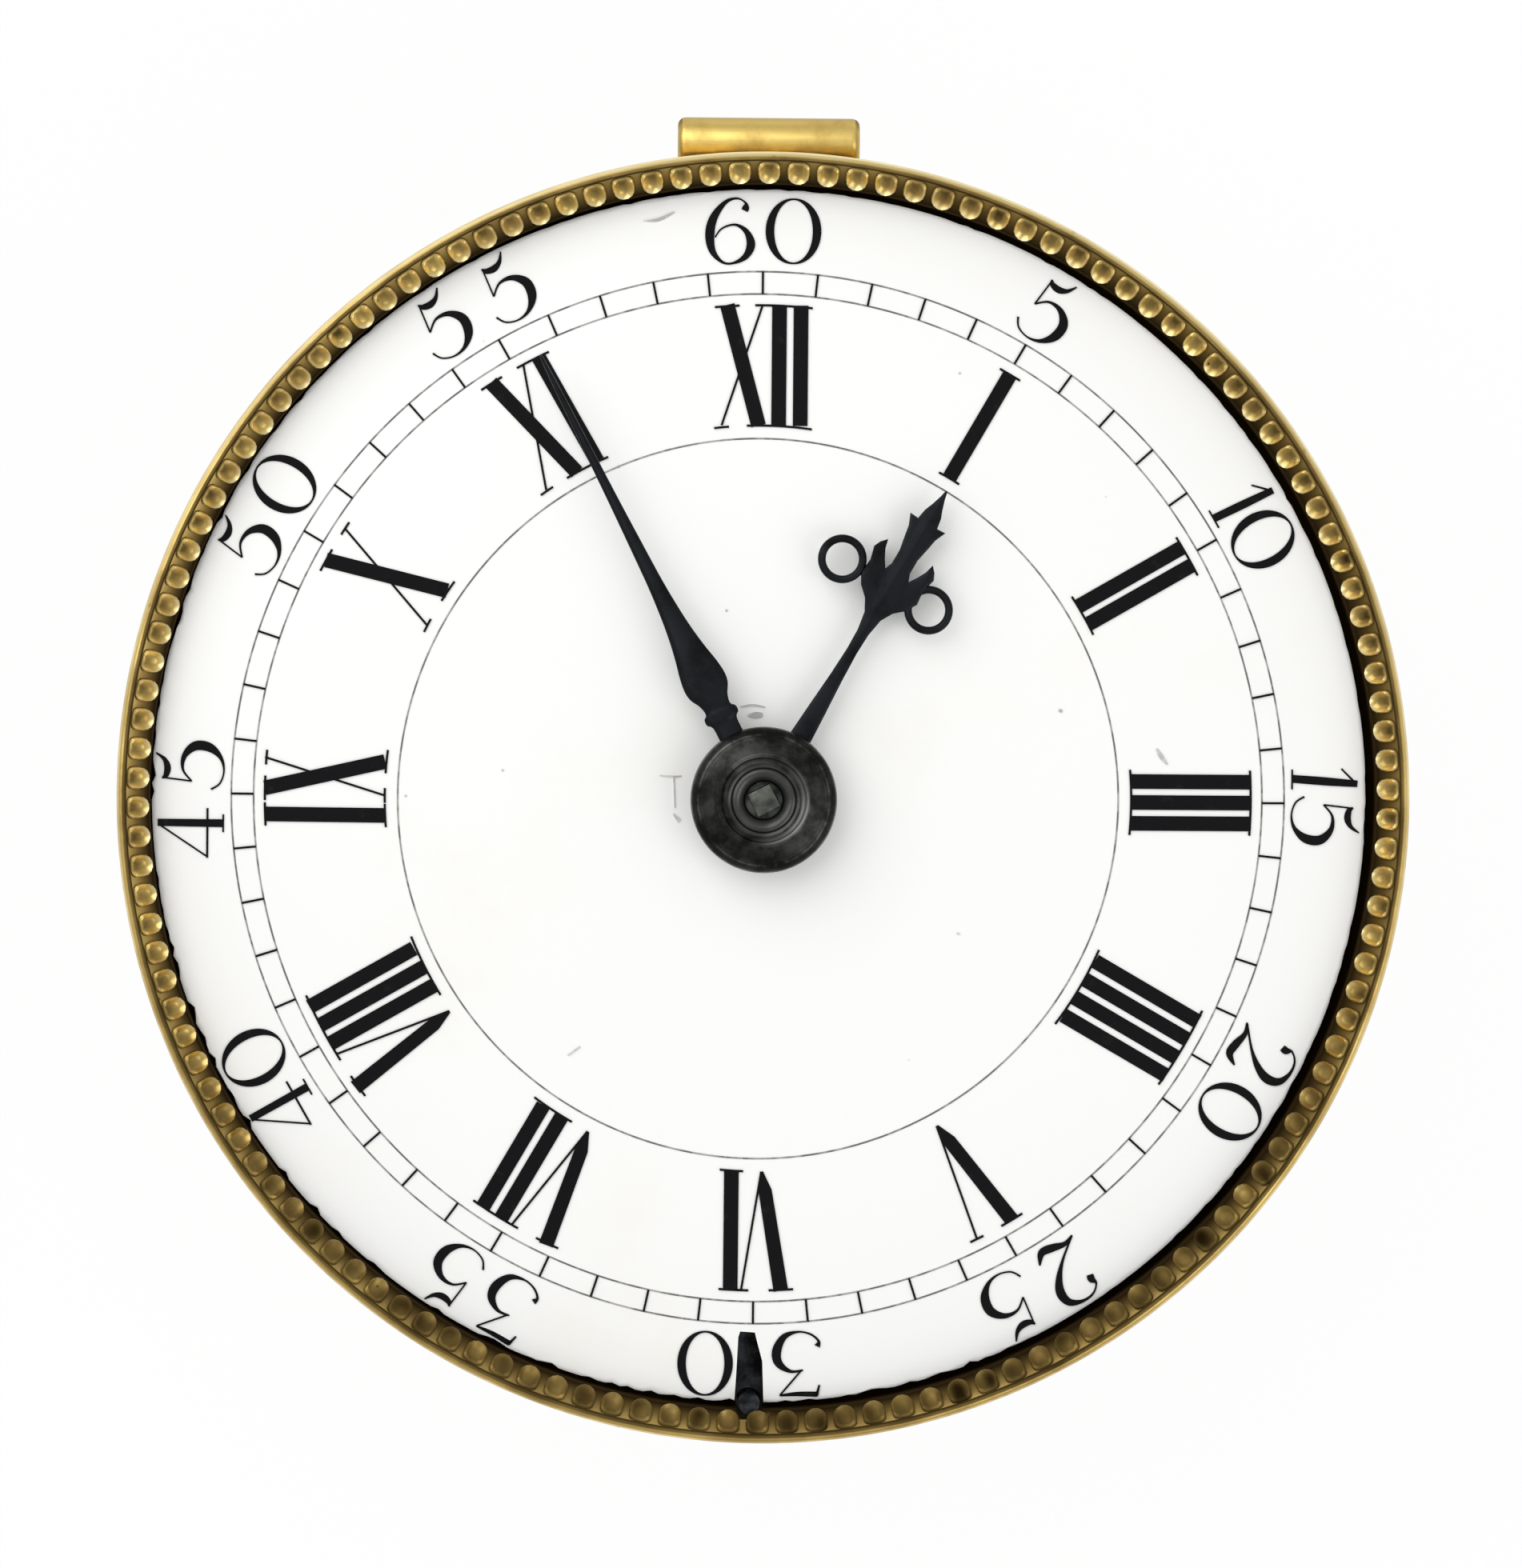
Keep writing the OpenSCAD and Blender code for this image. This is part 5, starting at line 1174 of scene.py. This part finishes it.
def leaf(s, t, angle, length, bend, width):
    """Points of a pointed leaf from (s, t), heading at an angle and bending as it goes."""
    out, steps = [(s, t, width * 0.35)], 6
    for i in range(1, steps + 1):
        angle += bend / steps
        ds, dt = polar(length / steps, angle)
        s, t = s + ds, t + dt
        out.append((s, t, max(0.03, width * math.sin(math.pi * (0.15 + 0.85 * i / steps)) ** 0.8)))
    return out


def mirrored(strokes):
    return strokes + [[(s, -t, w) for s, t, w in stroke] for stroke in strokes]


def arc_stroke(r, start, step, count, width):
    """A stroke of even width round the centre."""
    return [(*polar(r, start + step * i), width) for i in range(count + 1)]


class MOVEMENT_OT_cock(bpy.types.Operator):
    """Make the pierced and engraved balance cock"""
    bl_idname = "movement.cock"
    bl_label = "Balance cock"

    def execute(self, context):
        """All is drawn with the cock's foot along +X, and turned to its place."""
        top = low("balance_cock").z
        place = (Matrix.Translation((VERGE[0] * MM, VERGE[1] * MM, 0))
                 @ Matrix.Rotation(math.radians(direction(CENTRE, VERGE)), 4, "Z"))
        table = [cut_sheet("table", [circle(r, steps), circle(hole, hole_steps)], top + lift, top + 0.6, 0.04)
                 for r, steps, hole, hole_steps, lift in (
                     (7.3, 160, 6.72, 160, 0.03), (7.02, 160, 6.9, 160, 0), (2.05, 64, 0.3, 24, 0))]
        # The foot ends on an arc about the plate's centre
        arc = [(math.sqrt(17.35 ** 2 - t * t) - Vector(VERGE).length, t)
               for t in (4.55 - 9.1 * i / 16 for i in range(17))]
        foot = [(8.2, -4.1), (8.45, -4.55), *reversed(arc), (8.45, 4.55), (8.2, 4.1)]
        neck = [(6.5, -3.0), (6.95, -2.5), (7.5, -2.3), (8.0, -2.4), (8.6, -3.0)]
        neck += [(x, -y) for x, y in reversed(neck)]
        table += [cut_sheet("foot", [foot, circle(0.47, 32, (9.7, 0))], top, high("balance_cock").z, 0.08),
                  cut_sheet("neck", [neck], top + 0.01, top + 0.6, 0.05)]
        strokes = self.scrolls()
        for i, stroke in enumerate(strokes):
            # Steps in height keep the crossing strokes' faces apart
            solid = ribbon(stroke, face(top + 0.3 + 0.005 * (i % 9)), 2 * len(stroke))
            table.append(modify(solid, "SOLIDIFY", thickness=0.5 * MM, offset=0))
        table += [rod("rosette", 0.42, top + 0.02, top + 0.55, polar(4.42, angle), 20, 0.1)
                  for angle in (36, 90, 144, -36, -90, -144)]
        obj = join("pierced_cock", table)
        obj.matrix_world = place
        stand_in(ease(settle(obj), 0.035), "balance_cock", "cock")
        # Engraved lines as dark skins of painted shade for the cuts.
        lines = [[(s, t, 0.05) for s, t, _ in stroke[1:-1]] for stroke in strokes if len(stroke) > 4]
        lines = [ribbon(line, face(top + 0.04), 2 * len(line)) for line in lines]
        lines += [ribbon(line, face(top - ENGRAVED), 3 * len(line)) for line in self.foot_lines(arc)]
        lines += [ribbon([(0, 6.96, 0.05), (0.06, 6.82, 0.05)], face(top + 0.026, 5 * k), 2) for k in range(72)]
        line_work("cock_engraving", lines, "engraved", "gilt_brass", place=place)
        return {"FINISHED"}

    def scrolls(self):
        """The table's foliage: three pairs of volutes with leaves that reach the rim and the hub."""
        strokes = []
        hand = 1
        for angle in (36, 90, 144):
            s, t = polar(4.42, angle)
            spiral = volute(s, t, 1.85, 0.6, angle + 180, hand * 500, 0.56, 0.34, 26)
            strokes.append(spiral)
            strokes += [leaf(x, y, direction((s, t), (x, y)) + hand * 25, 0.9, hand * 75, 0.52)
                        for x, y, _ in spiral[:15:2]]
            hand = -hand
        return mirrored(strokes + [
            [(6.6, 0.55, 0.6), (5.7, 0.75, 0.5), (5.1, 1.25, 0.44), (4.6, 1.2, 0.4), (3.4, 0.75, 0.36),
             (2.0, 0.5, 0.34)],
            [(-1.9, 0.4, 0.4), (-3.2, 0.55, 0.36), (-4.4, 0.9, 0.42), (-5.6, 0.7, 0.4), (-6.7, 0.4, 0.4)],
            [(-0.2, 2.0, 0.34), (0.9, 2.7, 0.3), (1.8, 3.0, 0.36)],
            [(6.7, 1.6, 0.5), (6.0, 1.9, 0.46), (5.4, 1.8, 0.4)]])

    def foot_lines(self, arc):
        """Engraved scrolls and borders on the foot, the neck, the rim and the hub."""
        lines = [volute(9.55, 2.55, 0.95, 0.15, 180, -430, 0.12, 0.05, 20),
                 volute(9.0, 3.75, 0.5, 0.1, 0, 400, 0.09, 0.04, 14),
                 volute(10.05, 3.9, 0.4, 0.1, 200, 380, 0.09, 0.04, 14)]
        lines += [leaf(*shape) for shape in (
            (8.7, 2.2, 95, 1.1, -70, 0.16), (10.5, 2.2, -120, 0.9, 60, 0.14), (9.0, 1.5, 10, 1.0, 60, 0.14),
            (10.4, 1.3, 190, 0.8, -60, 0.14), (7.0, 0.4, 15, 1.3, 40, 0.2), (7.1, 1.2, 10, 1.2, 40, 0.18),
            (7.2, 1.9, -20, 0.9, 40, 0.14))]
        lines += [[(8.5, 0.3, 0.06), (8.5, 3.9, 0.06), (8.75, 4.3, 0.06)], [(8.75, 4.3, 0.06), (10.15, 4.3, 0.06)]]
        return mirrored(lines) + [[(s - 0.25, t * 0.94, 0.06) for s, t in arc],
                                  arc_stroke(1.7, 0, 15, 24, 0.06), arc_stroke(1.85, 0, 15, 24, 0.04)]


class MOVEMENT_OT_frame(bpy.types.Operator):
    """Finish the plates, pillars, wheels, arbors, springs and screws"""
    bl_idname = "movement.frame"
    bl_label = "Plates and train"

    # Materials by slot
    FINISHES = {"gilt_brass": "gilt_flat", "brass": "brass", "steel": "steel", "blued_steel": "blued",
                "silvered": "silvered", "ruby": "ruby"}
    # Width of the eased edges in mm: of most pieces, and by piece
    EDGE = 0.03
    EDGES = {node: width for width, nodes in (
        (0.012, "third_wheel contrate_wheel regulator_rack minute_wheel fusee_ratchet third_arbor contrate_arbor "
                "escape_arbor"),
        (0.015, "great_wheel centre_wheel escape_wheel hour_wheel cannon_pinion centre_arbor"),
        (0.02, "setup_ratchet"), (0.04, "regulator_disc"), (0.05, "slide_plate plate_screws stop_block"),
        (0.06, "potence counter_potence coqueret"), (0.07, "cock_screw barrel"),
        (0.08, "pillar_plate top_plate balance_wheel"), (0.1, "barrel_bar")) for node in nodes.split()}
    # Pieces that are modelled anew
    SPECIAL = {"dial", "dial_plate", "hinge", "bolt", "hour_hand", "minute_hand", "fusee", "fusee_chain",
               "balance_cock", "mainspring", "balance_spring"}

    def execute(self, context):
        for node in frame["nodes"]:
            if node not in self.SPECIAL:
                material = "square" if node == "cannon_pinion" else self.FINISHES[SLOTS[node]]
                dress(node, material, self.EDGES.get(node, self.EDGE))
        self.coil("balance_spring", "balance_coils", VERGE, 1.15, 4.22, 4, 200, 0.05, 60)
        self.coil("mainspring", "mainspring_coils", BARREL, 1.35, 5.5, 9, 0, 0.12, 48)
        self.regulator_numbers()
        self.engraving()
        return {"FINISHED"}

    def coil(self, node, name, centre, r0, r1, turns, end_angle, thick, per_turn):
        """A flat spring wound from radius r0 out to r1, in mm."""
        z0, z1 = low(node).z, high(node).z
        corners = ((0, z0), (thick, z0), (thick, z1), (0, z1))

        def at(u, v):
            out, z = corners[round(v * 4) % 4]
            x, y = polar(r0 + (r1 - r0) * u + out, end_angle - 360 * turns * (1 - u))
            return centre[0] + x, centre[1] + y, z
        obj = close_ends(grid(name, turns * per_turn, 4, at, wrap=True), 4)
        stand_in(settle(obj, 30), node, "blued")

    def regulator_numbers(self):
        """Numbers and ticks cut in the silvered disc, read from behind."""
        z = low("regulator_disc").z + 0.55 - ENGRAVED
        size, gap = 0.26, 0.3
        strokes = []
        for k in range(6):
            place = face(z, 60 * k, REGULATOR, -1)
            number = str(5 * k or 30)
            widths = [{"0": ZERO_WIDTH, "1": 0.8}.get(d, 1.5) for d in number]
            left = -(sum(widths) + gap * (len(number) - 1)) / 2
            for digit, width in zip(number, widths):
                strokes += [ribbon([(size * (x + left), 1.62 + size * y, 0.3 * w + 0.01) for x, y, w in shape], place)
                            for shape in DIGITS[digit]]
                left += width + gap
        for k in range(30):
            tick = 0.3 if k % 5 == 0 else 0.18
            strokes.append(ribbon([(0, 2.74, 0.035), (0, 2.74 - tick, 0.035)], face(z, 12 * k, REGULATOR, -1), 2))
        strokes += [ribbon(arc_stroke(r, 0, 10, 36, 0.03), face(z, 0, REGULATOR, -1)) for r in (2.78, 1.2)]
        line_work("regulator_numbers", strokes, "ink", "silvered", "regulator")

    def engraving(self):
        """Border lines and scrolls on the top plate, the barrel bar and the slide plate."""
        # Dark skins of painted shade stand for the engraved cuts.
        flat = face(low("top_plate").z - ENGRAVED, flip=-1)
        strokes = [ribbon(arc_stroke(high("top_plate").x - inset, 0, 6, 60, width), flat)
                   for inset, width in ((0.35, 0.07), (0.55, 0.035))]
        line_work("plate_engraving", strokes, "engraved", "gilt_brass")
        lines = []
        for side in (-1, 1):
            lines += [arc_stroke(r, side * q0, side * (q1 - q0) / 8, 8, 0.05)
                      for q0, q1, r in ((18, 37, 8.35), (20, 37, 10.2))]
            lines += [volute(*polar(9.25, side * q), 0.6, 0.1, side * 60, side * hand * 420, 0.11, 0.04)
                      for q, hand in ((22, 1), (27, -1))]
        place = face(low("slide_plate").z - ENGRAVED, direction(VERGE, REGULATOR), VERGE)
        strokes = [ribbon(line, place, 3 * len(line)) for line in lines]
        place = face(low("barrel_bar").z - ENGRAVED, direction(CENTRE, BARREL) + 90, BARREL)
        strokes += [ribbon([(side * 2.1, t, 0.05), (side * 4.6, t, 0.05)], place)
                    for t in (-1.15, 1.15) for side in (-1, 1)]
        line_work("slide_engraving", strokes, "engraved", "gilt_brass")


# Floor, lights and camera


class MOVEMENT_OT_stage(bpy.types.Operator):
    """Lay the pale floor, hang the soft lights and set the camera"""
    bl_idname = "movement.stage"
    bl_label = "Stage"

    # The photograph's size, the middle of the rim in it, and mm to a pixel
    PHOTO, RIM_PX, SCALE = (1902, 1960), (954, 998.5), 0.02597

    def execute(self, context):
        stage = context.scene.movement_stage
        self.world(context, stage)
        if stage.show_floor:
            self.floor()
        self.lights()
        self.camera(context, stage)
        context.scene.view_settings.view_transform = "Standard"
        return {"FINISHED"}

    def world(self, context, stage):
        """Even light, with a white background."""
        world = context.scene.world = bpy.data.worlds.new("soft_room")
        world.use_nodes = True
        n = Nodes(world.node_tree)
        back = n.tree.nodes["Background"]
        n.feed(back, {"Color": WHITE, "Strength": stage.world_light})
        seen = n.add("ShaderNodeBackground", {"Color": WHITE, "Strength": 1.0})
        path = n.add("ShaderNodeLightPath").outputs
        mix = n.add("ShaderNodeMixShader", {0: path["Is Camera Ray"], 1: back, 2: seen})
        n.feed(n.tree.nodes["World Output"], {"Surface": mix})

    def floor(self):
        """Pale paper that shows nearly white, and isn't there when seen from below."""
        bpy.ops.mesh.primitive_plane_add(size=1.2, location=(0, 0, CAD_BOX[0].z - 0.0002))
        floor = added("floor")
        s = Surface("pale_paper", Base_Color=(0.93, 0.93, 0.92, 1), Roughness=0.9)
        glow = s.add("ShaderNodeEmission", {"Color": WHITE, "Strength": 1.0})
        path = s.add("ShaderNodeLightPath").outputs
        rays = s.math("MAXIMUM", path["Is Camera Ray"], path["Is Glossy Ray"])
        share = s.math("MULTIPLY", rays, 0.96)
        mix = s.add("ShaderNodeMixShader", {0: share, 1: s.tree.nodes["Principled BSDF"], 2: glow})
        back = s.add("ShaderNodeNewGeometry").outputs["Backfacing"]
        one_sided = s.add("ShaderNodeMixShader", {0: back, 1: mix, 2: s.add("ShaderNodeBsdfTransparent")})
        s.feed(s.tree.nodes["Material Output"], {"Surface": one_sided})
        floor.data.materials.append(s.material)

    def lights(self):
        # Name, place and size in metres, and power in watts
        for name, place, size, power in (("key", (-0.16, 0.16, 0.24), 0.34, 0.5),
                                         ("fill", (0.2, -0.1, 0.22), 0.22, 0.2),
                                         ("back", (0.12, 0.16, -0.24), 0.2, 0.3)):
            bpy.ops.object.light_add(type="AREA", location=place)
            lamp = added(name)
            lamp.data.size, lamp.data.energy = size, power
            lamp.rotation_euler = (-Vector(place)).to_track_quat("-Z", "Y").to_euler()

    def camera(self, context, stage):
        """Looks along the photograph's line of sight, with the rim where the photograph has it."""
        width, height = self.PHOTO
        scale = self.SCALE * MM
        bpy.ops.object.camera_add()
        cam = context.scene.camera = context.active_object
        cam.name = "camera"
        cam.data.lens, cam.data.sensor_width = stage.lens, 36
        cam.data.clip_start, cam.data.clip_end = 0.005, 5
        distance = height * scale * cam.data.lens / cam.data.sensor_width
        x, y = math.radians(stage.side_tilt), math.radians(stage.top_tilt)
        back = Vector((-math.tan(x), math.tan(y), 1)).normalized()
        right = Vector((0, 1, 0)).cross(back).normalized()
        level = Matrix((right, back.cross(right), back)).transposed()
        turned = level @ Matrix.Rotation(math.radians(stage.roll), 3, "Z")
        off = Vector(((self.RIM_PX[0] - width / 2) * scale, (height / 2 - self.RIM_PX[1]) * scale, 0))
        cam.rotation_euler = turned.to_euler()
        cam.location = Vector((0, 0, LIP_Z * MM)) - turned @ off + back * distance


class MOVEMENT_PT_panel(bpy.types.Panel):
    """Lists the movement's settings and steps"""
    bl_idname = "MOVEMENT_PT_panel"
    bl_label = "Verge watch movement"
    bl_space_type = "VIEW_3D"
    bl_region_type = "UI"
    bl_category = "Movement"

    def draw(self, context):
        for group in GROUP_TYPES:
            box = self.layout.box()
            settings = getattr(context.scene, group)
            for key in settings.__annotations__:
                box.prop(settings, key)
        for operator in OPERATORS:
            self.layout.operator(operator.bl_idname)


GROUP_TYPES = {"movement_look": MovementLook, "movement_dial": MovementDial, "movement_rim": MovementRim,
               "movement_stage": MovementStage}
OPERATORS = (MOVEMENT_OT_dial, MOVEMENT_OT_rim, MOVEMENT_OT_hinge, MOVEMENT_OT_hands, MOVEMENT_OT_fusee,
             MOVEMENT_OT_cock, MOVEMENT_OT_frame, MOVEMENT_OT_stage)


def register():
    for cls in (*GROUP_TYPES.values(), *OPERATORS, MOVEMENT_PT_panel):
        bpy.utils.register_class(cls)
    for name, cls in GROUP_TYPES.items():
        setattr(bpy.types.Scene, name, PointerProperty(type=cls))


def unregister():
    for name in GROUP_TYPES:
        delattr(bpy.types.Scene, name)
    for cls in (MOVEMENT_PT_panel, *reversed(OPERATORS), *reversed(GROUP_TYPES.values())):
        bpy.utils.unregister_class(cls)


def main():
    register()
    make_materials(bpy.context.scene.movement_look)
    bpy.ops.movement.dial()
    bpy.ops.movement.rim()
    bpy.ops.movement.hinge()
    bpy.ops.movement.hands()
    bpy.ops.movement.fusee()
    bpy.ops.movement.cock()
    bpy.ops.movement.frame()
    bpy.ops.movement.stage()
    bpy.context.view_layer.update()


if __name__ == "__main__":
    main()
